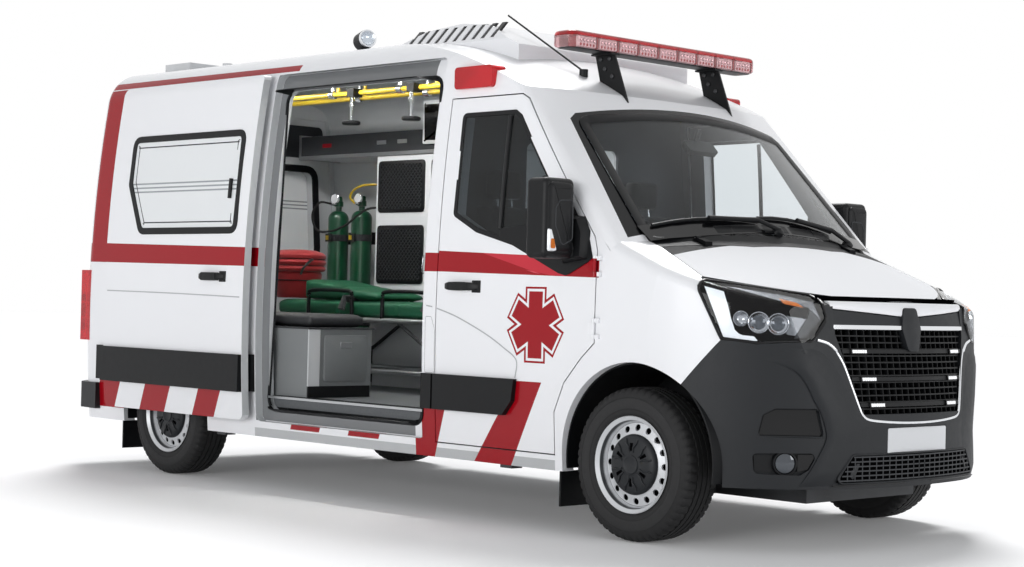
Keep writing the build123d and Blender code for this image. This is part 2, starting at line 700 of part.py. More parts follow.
with BuildPart(wheel_plane) as steering_wheel:
    Torus(185, 15)
    with Locations((0, 0, -20)):
        Cylinder(55, 40)
    with PolarLocations(0, 3, start_angle=90):
        with Locations((100, 0, -10)):
            Box(160, 34, 14)
save(steering_wheel.part, "steering_wheel")

# Seats: name, centre y, width
seat_table = [("driver", 470, 480), ("passenger", -380, 820)]
seats = []
for seat_name, y, width in seat_table:
    y0 = y - width / 2
    y1 = y + width / 2
    base = block(fx(-1230), fx(-800), y0 + 40, y1 - 40, cab_floor_top, 890)
    cushion = block(fx(-1240), fx(-740), y0, y1, 890, 1010, corner=35)
    back = slab_y(along((-1230, 985), (-1120, 1000), (-1215, 1570), (-1320, 1570)), y0, y1)
    back = fillet(back.edges().filter_by(Axis.Y), 25)
    head = block(fx(-1330), fx(-1240), y - 120, y + 120, 1575, 1740, corner=30)
    stem = block(fx(-1290), fx(-1270), y - 60, y + 60, 1540, 1600)
    seats.append(joined(base, cushion, back, head, stem))
bench_top = 895.0
bench_cushion = block(fx(-4250), fx(-2470), -890, -470, bench_top, bench_top + 75, corner=25)
save(joined(*seats, bench_cushion), "seats")
bench_box = minus(common(inner, block(fx(-4300), fx(-2450), -910, -460, floor_top, bench_top)), *arches)
save(bench_box, "bench_box")

# Treatment space
cabinet = block(fx(-3520), fx(-2350), 450, 870, floor_top, 1955)
shelf = common(inner, block(fx(-4330), fx(-2350), 480, wide, 1970, 2115))
plinth = block(fx(-3500), fx(-2370), 500, 860, 1950, 1975)
save(joined(minus(cabinet, *arches), plinth, shelf), "cabinets")
bottle_radius = 68.0
bottle_height = 1120.0
bottle_y = rear_arch_inner - bottle_radius - 12
bottle_top = floor_top + bottle_height
bottles = []
for x in (-3892, -4132):
    body_rod = rod((fx(x), bottle_y, floor_top), (fx(x), bottle_y, bottle_top), bottle_radius)
    body_rod = fillet(body_rod.edges().group_by(Axis.Z)[-1], 55)
    neck = rod((fx(x), bottle_y, bottle_top - 60), (fx(x), bottle_y, bottle_top + 70), 20)
    bottles.append(joined(body_rod, neck))
save(joined(*bottles), "oxygen_cylinders")
cot_y = 190.0
cot_half = 240.0
cot_high = 420.0
frame_rods = []
for z in (floor_top + 120, floor_top + cot_high):
    for side in (-1, 1):
        y = cot_y + side * cot_half
        frame_rods.append(rod((fx(-3900), y, z), (fx(-2000), y, z), 16))
    for x in (-3880, -2950, -2020):
        frame_rods.append(rod((fx(x), cot_y - cot_half, z), (fx(x), cot_y + cot_half, z), 14))
for x in (-3700, -2200):
    for side in (-1, 1):
        y = cot_y + side * cot_half
        frame_rods.append(rod((fx(x), y, floor_top + 60), (fx(x), y, floor_top + cot_high), 14))
        frame_rods.append(rod((fx(x), y - 20, floor_top + 70), (fx(x), y + 20, floor_top + 70), 70))
save(joined(*frame_rods), "stretcher_frame")
mattress_low = floor_top + cot_high + 14 + run_gap
mattress = block(fx(-3900), fx(-2000), cot_y - cot_half + 5, cot_y + cot_half - 5, mattress_low,
                 mattress_low + 100, corner=30)
save(mattress, "stretcher_mattress")
rails = []
for y in (-60, 150):
    rails.append(rod((fx(-4250), y, 2290), (fx(-1480), y, 2290), 15))
    for x in (-4200, -3300, -2400, -1520):
        rails.append(rod((fx(x), y, 2290), (fx(x), y, 2480), 12))
save(common(inner, joined(*rails)), "grab_rails")

# Running gear
rail_low = 395.0
rail_high = floor_top - floor_thickness
front_rail_high = 500.0
sub_low = 195.0
sub_high = 300.0
rail_rods = []
for side in (-1, 1):
    ends = sorted((side * 390, side * 470))
    rail_rods.append(block(rear_wall_x + wall + 10, fx(-105), *ends, rail_low, rail_high))
    rail_rods.append(block(fx(-105), fx(620), *ends, rail_low, front_rail_high))
for x in (fx(560), fx(-900), rear_axle_x + 700, rear_axle_x - 640):
    rail_rods.append(block(x, x + 60, -391, 391, rail_low + 5, rail_high - 5))
tow_x = rear_wall_x + 80
tow_low = 360.0
tow_beam = block(rear_wall_x + 20, rear_wall_x + 140, -600, 600, tow_low, floor_top - floor_thickness)
tow_holes = [rod((tow_x + dx, dy, tow_low - 1), (tow_x + dx, dy, tow_low + 60), 6.5)
             for dx in (-30, 30) for dy in (-200, 200)]
ladder = minus(joined(*rail_rods, tow_beam), *tow_holes)
tank = block(fx(-1900), fx(-1400), 520, 860, 290, rail_high)
pipe = rod((fx(-150), -180, 360), (rear_axle_x + 200, -180, 360), 32)
pipe_hangers = [block(fx(x), fx(x) + 20, -190, -170, 380, rail_low + 10) for x in (-890, -2960)]
pads = []
for x in (fx(-800), rear_axle_x + 560):
    pad = block(x - 40, x + 40, -985, -915, sill_z - 15, sill_z)
    pads += [pad, flip(pad)]
save(joined(ladder, tank, pipe, *pipe_hangers, *pads), "chassis")
engine = block(fx(60), fx(540), -360, 360, sub_high, 960)
save(engine, "engine")

subframe = block(fx(-130), fx(560), -420, 420, sub_low, sub_high)
pin_low = 225.0
pin_high = 473.0
arms = []
for side in (-1, 1):
    post = sorted((side * 395, side * 420))
    arms.append(block(fx(-100), fx(100), *post, sub_high, rail_low))
    lower = sorted((side * 400, side * kingpin_y))
    arms.append(block(fx(-35), fx(35), *lower, sub_low, pin_low - run_gap))
    arms.append(rod((fx(0), side * kingpin_y, sub_low), (fx(0), side * kingpin_y, pin_low - run_gap), 35))
    upper = sorted((side * 470, side * kingpin_y))
    arms.append(block(fx(-28), fx(28), *upper, pin_high + run_gap, front_rail_high - 2))
    arms.append(rod((fx(0), side * kingpin_y, pin_high + run_gap),
                    (fx(0), side * kingpin_y, front_rail_high - 2), 28))
save(joined(subframe, *arms), "front_suspension")

hub_out = 72.0
for side, name in ((-1, "right"), (1, "left")):
    wheel_y = side * front_track / 2
    post = rod((fx(0), side * kingpin_y, pin_low), (fx(0), side * kingpin_y, pin_high), 25)
    spindle = rod((fx(0), side * kingpin_y, tyre_radius), (fx(0), wheel_y + side * hub_out, tyre_radius),
                  spindle_radius)
    save(joined(post, spindle), f"knuckle_{name}")
axle_y = rear_track / 2
beam = rod((rear_axle_x, -700, tyre_radius), (rear_axle_x, 700, tyre_radius), 40)
stub = rod((rear_axle_x, -axle_y - hub_out, tyre_radius), (rear_axle_x, axle_y + hub_out, tyre_radius),
           spindle_radius)
springs = []
for side in (-1, 1):
    ends = sorted((side * 560, side * 625))
    springs.append(block(rear_axle_x - 620, rear_axle_x + 620, *ends, tyre_radius + 38, tyre_radius + 54))
    for x in (rear_axle_x - 620, rear_axle_x + 580):
        springs.append(block(x, x + 40, *ends, tyre_radius + 54, rail_high))
save(joined(beam, stub, *springs), "rear_axle")

# Wheels
tyre_half = tyre_width / 2
bead = rim_radius - 10
flank_points = [(-95, bead), (-95, rim_radius + 1), (-106, rim_radius + 12), (-tyre_half, 275), (-108, 318),
                (-92, 342), (-62, tyre_radius), (62, tyre_radius), (92, 342), (108, 318), (tyre_half, 275),
                (106, rim_radius + 12), (95, rim_radius + 1), (95, bead)]
rim_points = [(-95, bead), (-105, rim_radius), (-107, rim_radius - 4), (-95, bead - 10), (30, bead - 14),
              (45, 150), (60, 120), (60, spindle_radius + run_gap), (44, spindle_radius + run_gap), (44, 112),
              (30, 142), (15, bead - 24), (-95, bead - 14)]
bowl_points = [(105, rim_radius), (95, bead), (-95, bead), (-105, rim_radius), (-109, rim_radius - 3),
               (-99, bead - 8), (20, bead - 8), (38, 160), (60, 118), (60, spindle_radius + run_gap),
               (76, spindle_radius + run_gap), (78, 122), (62, 166), (56, 192), (95, 200),
               (109, rim_radius - 3)]
hole_count = 16
hole_radius = 15.0
hole_ring = 166.0


def turned(points):
    """Wheel profile (across, radius) turned about the axle."""
    with BuildPart() as wheel:
        with BuildSketch(Plane.YZ):
            with BuildLine():
                Polyline(*points, close=True)
            make_face()
        revolve(axis=Axis.Y)
    return wheel.part


tyre = turned(flank_points)
with BuildPart() as rim:
    add(turned(bowl_points))
    with BuildSketch(Plane.XZ):
        with PolarLocations(hole_ring, hole_count):
            Circle(hole_radius)
    extrude(amount=-150, mode=Mode.SUBTRACT)
    with BuildSketch(Plane.XZ.offset(-76)):
        Circle(120)
    extrude(amount=-16)
for axle, x, track in (("front", fx(0), front_track), ("rear", rear_axle_x, rear_track)):
    for side, name in ((-1, "right"), (1, "left")):
        place = Location((x, side * track / 2, tyre_radius))
        for piece, kind in ((tyre, "tyre"), (rim.part, "rim")):
            save((piece if side > 0 else flip(piece)).moved(place), f"{kind}_{axle}_{name}")
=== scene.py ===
"""Looks of the ambulance van: finishes, markings, lamps, trim, tyres and treatment space.

Row frame in metres: +X forward, +Y left, +Z up. Places are measured from the front axle.
"""
import math

import bmesh
import bpy
from mathutils import Matrix, Vector
from mathutils.bvhtree import BVHTree


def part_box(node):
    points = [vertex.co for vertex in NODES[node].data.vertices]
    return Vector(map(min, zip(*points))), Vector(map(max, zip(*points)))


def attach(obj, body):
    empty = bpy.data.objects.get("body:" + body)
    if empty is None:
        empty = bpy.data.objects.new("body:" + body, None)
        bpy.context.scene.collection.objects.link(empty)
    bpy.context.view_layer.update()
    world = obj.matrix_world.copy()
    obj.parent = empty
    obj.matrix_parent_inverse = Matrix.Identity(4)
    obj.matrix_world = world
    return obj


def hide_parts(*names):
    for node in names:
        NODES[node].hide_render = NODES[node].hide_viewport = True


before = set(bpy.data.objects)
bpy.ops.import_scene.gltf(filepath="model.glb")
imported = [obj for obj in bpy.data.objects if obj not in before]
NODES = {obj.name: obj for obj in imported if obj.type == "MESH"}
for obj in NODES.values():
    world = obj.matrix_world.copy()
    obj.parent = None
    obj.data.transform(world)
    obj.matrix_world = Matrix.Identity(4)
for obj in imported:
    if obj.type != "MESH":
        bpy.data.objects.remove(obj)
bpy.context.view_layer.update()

AXLE_X = sum(corner.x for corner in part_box("rim_front_right")) / 2
REAR_X = sum(corner.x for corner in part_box("rim_rear_right")) / 2 - AXLE_X
WHEEL_Z = sum(corner.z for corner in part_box("rim_front_right")) / 2
SIDES = (("left", 1), ("right", -1))
WHEELS = ("front_left", "front_right", "rear_left", "rear_right")


def level(x0, x1, z0, z1):
    """Corners of a rectangle."""
    return [(x0, z0), (x1, z0), (x1, z1), (x0, z1)]


def around(loop):
    """Neighbouring points of a closed outline, in pairs."""
    return list(zip(loop, loop[1:] + loop[:1]))


def winding(loop):
    """1 for an outline that turns to the left, -1 for one that turns to the right."""
    return 1 if sum(p[0] * q[1] - q[0] * p[1] for p, q in around(loop)) > 0 else -1


# Materials
def srgb(*levels):
    """Linear colour, with full alpha, of screen levels 0 to 255."""
    return (*((v / 255 / 12.92) if v < 10.3 else ((v / 255 + 0.055) / 1.055) ** 2.4 for v in levels), 1)


class Finish:
    """A procedural material: a shader with a few node details."""

    def __init__(self, name, color, rough=0.5, metal=0.0, **sockets):
        self.material = bpy.data.materials.new(name)
        self.material.use_nodes = True
        self.tree = self.material.node_tree
        self.shader = self.tree.nodes["Principled BSDF"]
        self.color = srgb(*color)
        self.set(Base_Color=self.color, Roughness=rough, Metallic=metal, **sockets)
        self.coords = None

    def set(self, **sockets):
        for socket, value in sockets.items():
            self.shader.inputs[socket.replace("_", " ")].default_value = value

    def node(self, kind, inputs=(), **settings):
        made = self.tree.nodes.new(kind)
        for key, value in settings.items():
            setattr(made, key, value)
        for socket, value in inputs:
            if isinstance(value, bpy.types.NodeSocket):
                self.tree.links.new(value, made.inputs[socket])
            else:
                made.inputs[socket].default_value = value
        return made

    def link(self, source, socket):
        self.tree.links.new(source, self.shader.inputs[socket])

    def place(self, output="Object"):
        if self.coords is None:
            self.coords = self.node("ShaderNodeTexCoord")
        return self.coords.outputs[output]

    def math(self, operation, one, two=0.0):
        return self.node("ShaderNodeMath", [(0, one), (1, two)], operation=operation).outputs[0]

    def vector(self, operation, one, two):
        return self.node("ShaderNodeVectorMath", [(0, one), (1, two)], operation=operation).outputs[0]

    def dot(self, vector, direction):
        made = self.node("ShaderNodeVectorMath", [(0, vector), (1, direction)], operation="DOT_PRODUCT")
        return made.outputs["Value"]

    def mix(self, factor, one, two):
        made = self.node("ShaderNodeMix", [(0, factor), (6, one), (7, two)], data_type="RGBA")
        return made.outputs[2]

    def remap(self, value, **limits):
        inputs = [("Value", value)] + [(key.replace("_", " "), limit) for key, limit in limits.items()]
        return self.node("ShaderNodeMapRange", inputs).outputs[0]

    def marked(self, depth, color, shade):
        """Colour that turns to a shade wherever a depth is above nought."""
        return self.mix(self.math("GREATER_THAN", depth, 0.0), color, srgb(*shade))

    def fold(self, operation, values):
        """One value out of several, taken two by two."""
        result = values[0]
        for value in values[1:]:
            result = self.math(operation, result, value)
        return result

    def noise(self, scale, detail=3.0):
        inputs = [("Vector", self.place()), ("Scale", scale), ("Detail", detail)]
        return self.node("ShaderNodeTexNoise", inputs).outputs[0]

    def bump(self, height, strength, distance):
        made = self.node("ShaderNodeBump", [("Height", height), ("Strength", strength),
                                            ("Distance", distance)])
        self.link(made.outputs[0], "Normal")
        return self

    def grain(self, scale=600.0, strength=0.25, distance=0.001):
        return self.bump(self.noise(scale), strength, distance)

    def mottle(self, color, scale=6.0, amount=0.5):
        factor = self.math("MULTIPLY", self.noise(scale, 4.0), amount)
        self.link(self.mix(factor, self.color, srgb(*color)), "Base Color")
        return self

    def uneven(self, low, high, scale=12.0):
        self.link(self.remap(self.noise(scale), To_Min=low, To_Max=high), "Roughness")
        return self


def plain(name, color, rough, metal=0.0, mottle=None, uneven=None, grain=None, **sockets):
    """Material of one colour, with mottle, uneven gloss and grain where they are given."""
    finish = Finish(name, color, rough, metal, **sockets)
    for detail, values in ((finish.mottle, mottle), (finish.uneven, uneven), (finish.grain, grain)):
        if values:
            detail(*values)
    return finish.material


def inside(finish, outline, first=(1, 0, 0), second=(0, 0, 1)):
    """Signed distance into a convex outline drawn along two directions."""
    turn = winding(outline)
    depths = []
    for p, q in around(outline):
        run = math.hypot(q[0] - p[0], q[1] - p[1])
        a = -turn * (q[1] - p[1]) / run
        b = turn * (q[0] - p[0]) / run
        normal = tuple(a * f + b * s for f, s in zip(first, second))
        depths.append(finish.math("SUBTRACT", finish.dot(finish.place(), normal), a * p[0] + b * p[1]))
    return finish.fold("MINIMUM", depths)


def union(finish, outlines, **plane):
    """Signed distance into any of several outlines."""
    return finish.fold("MAXIMUM", [inside(finish, outline, **plane) for outline in outlines])


WHITE = (236, 237, 240)
RED = (152, 4, 20)
TRIM_BLACK = (16, 17, 19)
BORDER_BLACK = (14, 15, 17)
LINING = (196, 199, 201)
# Painted shade: inward faces ahead of the cab's back take a dark grey that stands in for the dark inside of
# the cab.
CAB_PAINTED_SHADE = (78, 81, 85)
CAB_BACK = -1.37
BODY_MIDDLE = (0, 0, 1.2)
OUTWARD_WEIGHT = (0.2, 1, 0.6)
OUTWARD_LIMIT = 0.02
SCREEN_BASE, SCREEN_BASE_Z = 0.1, 1.36
SCREEN_LEAN = math.radians(46.5)
SCREEN_BORDER = [(-0.925, 0.15), (0.925, 0.15), (0.805, 0.915), (0.76, 0.945), (-0.76, 0.945),
                 (-0.805, 0.915)]
screen_out = Vector((math.sin(SCREEN_LEAN), 0, math.cos(SCREEN_LEAN)))
screen_up = Vector((-math.cos(SCREEN_LEAN), 0, math.sin(SCREEN_LEAN)))
screen_lift = Vector((AXLE_X + SCREEN_BASE, 0, SCREEN_BASE_Z)).dot(screen_up)


def body_paint(name, layers=(), border=False, **plane):
    """Gloss white outside with film markings and painted shade bands; plain lining on inward faces, with
    painted shade making it darker in the cab.
    """
    finish = Finish(name, WHITE, 0.3, Specular_IOR_Level=0.2, Coat_Weight=0.12, Coat_Roughness=0.06)
    here = finish.place()
    spread = finish.vector("MULTIPLY", finish.vector("SUBTRACT", here, BODY_MIDDLE), OUTWARD_WEIGHT)
    outward = finish.math("SUBTRACT", finish.dot(finish.place("Normal"), spread), OUTWARD_LIMIT)
    color = finish.color
    for shade, outlines in layers:
        color = finish.marked(union(finish, outlines, **plane), color, shade)
    if border:
        outline = [(u, v + screen_lift) for u, v in SCREEN_BORDER]
        color = finish.marked(inside(finish, outline, (0, 1, 0), tuple(screen_up)), color, BORDER_BLACK)
    outer = finish.math("GREATER_THAN", outward, 0.0)
    ahead = finish.math("GREATER_THAN", finish.dot(here, (1, 0, 0)), AXLE_X + CAB_BACK)
    inner = finish.mix(ahead, srgb(*LINING), srgb(*CAB_PAINTED_SHADE))
    finish.link(finish.mix(outer, inner, color), "Base Color")
    finish.link(finish.remap(outer, To_Min=0.55, To_Max=0.26), "Roughness")
    finish.bump(finish.noise(900.0), 0.02, 0.0006)
    return finish.material


bumper_grey = plain("bumper_grey", (29, 31, 34), 0.5, Specular_IOR_Level=0.25, uneven=(0.42, 0.56, 40),
                    grain=(900, 0.25, 0.0008))
black_plastic = plain("black_plastic", (16, 17, 19), 0.45, Specular_IOR_Level=0.2, uneven=(0.38, 0.52, 30),
                      grain=(1200, 0.18, 0.0006))
gloss_black = plain("gloss_black", (11, 11, 13), 0.14, Specular_IOR_Level=0.3, uneven=(0.1, 0.18, 20))
rubber = plain("rubber", (26, 26, 27), 0.75, mottle=((44, 43, 42), 18, 0.6), grain=(300, 0.2, 0.001))
chrome = plain("chrome", (225, 227, 230), 0.1, 1.0, uneven=(0.06, 0.14, 25))
aluminium = plain("aluminium", (176, 178, 180), 0.35, 1.0, uneven=(0.26, 0.42, 60),
                  grain=(240, 0.1, 0.0008))
steel = plain("steel", (72, 74, 77), 0.5, 0.7, mottle=((48, 47, 46), 9, 0.8), grain=(160, 0.2, 0.001))
wheel_silver = plain("wheel_silver", (208, 210, 213), 0.36, 0.35, uneven=(0.3, 0.44, 40),
                     grain=(700, 0.08, 0.0005))
cap_grey = plain("cap_grey", (33, 35, 38), 0.45, Specular_IOR_Level=0.25, uneven=(0.38, 0.54, 30))
lining_grey = plain("lining_grey", (200, 202, 204), 0.5, uneven=(0.42, 0.58, 18), grain=(420, 0.12, 0.0008))
box_grey = plain("box_grey", (122, 125, 126), 0.45, mottle=((110, 113, 115), 5, 0.5),
                 grain=(500, 0.12, 0.0007))
dark_grey = plain("dark_grey", (48, 50, 53), 0.5, Specular_IOR_Level=0.3, uneven=(0.42, 0.58, 22),
                  grain=(600, 0.15, 0.0007))
cabinet_white = plain("cabinet_white", (212, 214, 217), 0.4, uneven=(0.3, 0.42, 15))
floor_vinyl = plain("floor_vinyl", (104, 107, 110), 0.55, mottle=((84, 87, 90), 90, 0.9),
                    grain=(260, 0.2, 0.001))
bottle_green = plain("bottle_green", (16, 78, 50), 0.28, Coat_Weight=0.5, mottle=((12, 60, 38), 7, 0.6))
vinyl_green = plain("vinyl_green", (22, 92, 62), 0.5, mottle=((16, 72, 48), 9, 0.6),
                    grain=(520, 0.3, 0.001))
rail_yellow = plain("rail_yellow", (198, 170, 44), 0.36, uneven=(0.26, 0.4, 25))
seat_cloth = plain("seat_cloth", (42, 44, 47), 0.9, Sheen_Weight=0.2, mottle=((28, 29, 31), 240, 0.9),
                   grain=(900, 0.5, 0.0015))
red_film = plain("red_film", RED, 0.3, Specular_IOR_Level=0.2, Coat_Weight=0.1, uneven=(0.24, 0.36, 30))
red_lens = plain("red_lens", (214, 16, 32), 0.08, Transmission_Weight=0.6, IOR=1.3, Coat_Weight=0.4,
                 uneven=(0.04, 0.12, 60))
clear_lens = plain("clear_lens", (236, 240, 244), 0.02, Transmission_Weight=1.0, IOR=1.06, Coat_Weight=0.35,
                   uneven=(0.01, 0.04, 30))
amber_lens = plain("amber_lens", (224, 120, 20), 0.12, Transmission_Weight=0.4, IOR=1.3,
                   uneven=(0.08, 0.16, 60))
# Front door glass in two copies: the right pane is tinted darker as painted shade for the dark cab behind
# it, the left is clearer as painted light so the far window reads white. The real panes are alike.
near_glass_painted_shade = plain("near_glass_painted_shade", (128, 136, 140), 0.0, Transmission_Weight=1.0, IOR=1.3,
                  uneven=(0.0, 0.012, 9))
far_glass_painted_light = plain("far_glass_painted_light", (234, 238, 240), 0.0, Transmission_Weight=1.0, IOR=1.2,
                    uneven=(0.0, 0.012, 9))
screen_glass = plain("screen_glass", (236, 240, 242), 0.0, Transmission_Weight=1.0, IOR=1.2,
                     uneven=(0.0, 0.012, 9))
lamp_white = plain("lamp_white", (250, 252, 255), 0.3, Emission_Color=(1, 1, 1, 1), Emission_Strength=0.25,
                   uneven=(0.24, 0.36, 50))
ceiling_light = plain("ceiling_light", (250, 252, 255), 0.3, Emission_Color=(1, 0.98, 0.95, 1),
                      Emission_Strength=52.0, uneven=(0.24, 0.36, 50))
# Painted shade: a flat black with no gloss, set behind the grille and intake, at the back of the headlamps
# and in the wheel's holes and slits, where only shade shows.
painted_void_shade = plain("painted_void_shade", (5, 5, 6), 0.9, Specular_IOR_Level=0.0, uneven=(0.8, 1.0, 20))
lamp_silver = plain("lamp_silver", (104, 106, 110), 0.3, 0.3, uneven=(0.2, 0.32, 40))
lamp_chrome = plain("lamp_chrome", (168, 170, 174), 0.12, 1.0, uneven=(0.08, 0.18, 30))
light_guide = plain("light_guide", (232, 235, 238), 0.22, Coat_Weight=0.5, uneven=(0.16, 0.28, 50))
projector_glass = plain("projector_glass", (58, 63, 70), 0.05, 0.3, Coat_Weight=0.6,
                        uneven=(0.03, 0.08, 40))
pink_lens = plain("pink_lens", (240, 196, 198), 0.06, Transmission_Weight=0.8, IOR=1.2,
                  uneven=(0.04, 0.1, 60))
red_cloth = plain("red_cloth", (168, 26, 30), 0.7, Sheen_Weight=0.2, mottle=((120, 12, 18), 14, 0.8),
                  grain=(700, 0.4, 0.001))
seat_vinyl = plain("seat_vinyl", (38, 39, 42), 0.55, mottle=((28, 29, 31), 9, 0.7), grain=(520, 0.3, 0.001))
# Painted shade: the grey of the crease strips stands in for the shadow in the body's creases.
crease_painted_shade = plain("crease_painted_shade", (172, 174, 177), 0.4, Specular_IOR_Level=0.2, uneven=(0.34, 0.46, 30))
white_paint = body_paint("white_paint")


def quilt(name, pitch):
    """Dark net with diagonal quilting."""
    finish = Finish(name, (24, 25, 27), 0.8, Specular_IOR_Level=0.2)
    waves = []
    for direction in ((1, 0, 1), (1, 0, -1)):
        run = finish.math("MULTIPLY", finish.dot(finish.place(), direction), math.pi / pitch)
        waves.append(finish.math("ABSOLUTE", finish.math("SINE", run)))
    depth = finish.fold("MINIMUM", waves)
    shade = finish.remap(depth, From_Max=0.3)
    finish.link(finish.mix(shade, srgb(58, 60, 63), finish.color), "Base Color")
    return finish.bump(depth, 0.8, 0.012).material


def frosted(name, lines):
    """Pale frosted glass with a few clear lines."""
    finish = Finish(name, (240, 243, 245), 0.35, Transmission_Weight=0.15, Coat_Weight=0.5,
                    Coat_Roughness=0.03)
    height = finish.node("ShaderNodeSeparateXYZ", [(0, finish.place())]).outputs[2]
    away = [finish.math("ABSOLUTE", finish.math("SUBTRACT", height, z)) for z in lines]
    shade = finish.math("LESS_THAN", finish.fold("MINIMUM", away), CLEAR_LINE)
    finish.link(finish.mix(shade, finish.color, srgb(150, 156, 160)), "Base Color")
    return finish.uneven(0.28, 0.42, 30).material


def two_tone(name, color, other, edge, beyond=1, mark=None, shine=0.2):
    """Plastic with another colour, and a marking if given, on one side of a station along the body."""
    finish = Finish(name, color, 0.45, Specular_IOR_Level=shine)
    along_body = finish.dot(finish.place(), (beyond, 0, 0))
    ahead = finish.math("GREATER_THAN", along_body, beyond * (AXLE_X + edge))
    far = srgb(*other)
    if mark:
        shade, outlines = mark
        far = finish.marked(union(finish, outlines), far, shade)
    finish.link(finish.mix(ahead, finish.color, far), "Base Color")
    return finish.uneven(0.36, 0.5, 30).grain(1200, 0.15, 0.0006).material


def ringed(name, x, color, bands, rough, metal, ribs=0.0):
    """Wheel finish in rings about the wheel's centre; bands are (inner radius, outer radius, colour)."""
    finish = Finish(name, color, rough, metal, Specular_IOR_Level=0.35)
    centre = (AXLE_X + x, 0, WHEEL_Z)
    flat = finish.vector("MULTIPLY", finish.vector("SUBTRACT", finish.place(), centre), (1, 0, 1))
    radius = finish.node("ShaderNodeVectorMath", [(0, flat)], operation="LENGTH").outputs["Value"]
    shade = finish.color
    for inner, outer, other in bands:
        half = (outer - inner) / 2
        near = finish.math("ABSOLUTE", finish.math("SUBTRACT", radius, inner + half))
        soft = finish.remap(near, From_Min=half, From_Max=half - RING_BLUR)
        shade = finish.mix(soft, shade, srgb(*other))
    finish.link(shade, "Base Color")
    finish.uneven(rough - 0.06, rough + 0.08, 40)
    height = finish.noise(500.0)
    if ribs:
        wave = finish.math("SINE", finish.math("MULTIPLY", radius, 2 * math.pi / ribs))
        height = finish.math("ADD", height, wave)
    return finish.bump(height, 0.25 if ribs else 0.08, 0.0012 if ribs else 0.0005).material


RING_BLUR, CLEAR_LINE = 0.002, 0.0045
# Rims: two darker rings stand in for the shade in the rim's barrel groove: painted shade.
RIM_PAINTED_SHADE_BANDS = [(0.1945, 0.2015, (66, 68, 71)), (0.1865, 0.1915, (112, 114, 117))]
TYRE_BANDS = [(0.215, 0.2475, (30, 30, 31)), (0.2475, 0.2525, (20, 20, 21)), (0.2525, 0.299, (38, 38, 39)),
              (0.299, 0.303, (20, 20, 21))]
quilted_net = quilt("quilted_net", 0.032)
frosted_glass = frosted("frosted_glass", (1.652, 1.676, 1.7))


# Marking outlines and painted shade bands on the body side, as x from the front axle and height
def along(*points):
    """Outline from points measured from the front axle."""
    return [(AXLE_X + x, z) for x, z in points]


def star(x, z, reach, width):
    """Six-armed star: three bars through one centre."""
    bars = []
    for angle in (90, 30, 150):
        turn = math.radians(angle)
        u = (math.cos(turn) * reach, math.sin(turn) * reach)
        v = (-math.sin(turn) * width, math.cos(turn) * width)
        bars.append(along((x + u[0] + v[0], z + u[1] + v[1]), (x - u[0] + v[0], z - u[1] + v[1]),
                          (x - u[0] - v[0], z - u[1] - v[1]), (x + u[0] - v[0], z + u[1] - v[1])))
    return bars


STRIPE = (RED, [along((-1.42, 1.21), (-1.42, 1.315), (-0.197, 1.2749), (-0.197, 1.1879))])
SWEEP = ((192, 44, 58), [along((-0.98, 1.3), (-0.62, 1.212), (-0.5, 1.195), (-0.42, 1.192), (-0.37, 1.215),
                               (-0.32, 1.279))])
SWEEP_EDGE = ((206, 78, 90), [along((-0.99, 1.302), (-0.98, 1.301), (-0.62, 1.213), (-0.5, 1.196),
                                    (-0.5, 1.192), (-0.62, 1.207))])
STAR_PLACE = (-0.597, 0.961)
door_blocks = (RED, [along((-1.45, 0.28), (-1.31, 0.28), (-1.225, 0.533), (-1.45, 0.533)),
                     along((-1.025, 0.28), (-0.765, 0.28), (-0.55, 0.692), (-0.722, 0.692))])
door_marks = [STRIPE, SWEEP, SWEEP_EDGE, door_blocks, (RED, star(*STAR_PLACE, 0.180, 0.070)),
              (WHITE, star(*STAR_PLACE, 0.170, 0.058)), (RED, star(*STAR_PLACE, 0.158, 0.046))]
rear_blocks = [along((right - width - 0.08, 0.36), (right - 0.08, 0.36), (right, 0.54),
                     (right - width, 0.54))
               for right, width in ((-4.0, 0.36), (-3.478, 0.257), (-2.987, 0.212), (-2.5, 0.25),
                                    (-1.97, 0.25), (-1.44, 0.25))]
side_band = (RED, [along((-4.70, 1.2436), (-4.70, 1.361), (-1.30, 1.300), (-1.30, 1.207))])
pillar = (RED, [along((-4.50, 1.30), (-4.31, 1.30), (-4.24, 2.0), (-4.2, 2.35), (-4.50, 2.35))])
roof_strip = (RED, [along((-4.50, 2.308), (-4.50, 2.348), (-2.62, 2.342), (-2.62, 2.306))])
sill_dashes = (RED, [along((x, 0.342), (x + 0.25, 0.342), (x + 0.262, 0.37), (x + 0.012, 0.37))
                     for x in (-2.48, -1.99)])
# Painted shade: a mid grey over the sliding doorway's recess and frame stands in for the shade there.
recess_painted_shade = ((126, 128, 130), [along((-2.785, 0.374), (-1.5, 0.374), (-1.5, 2.292), (-2.785, 2.292))])
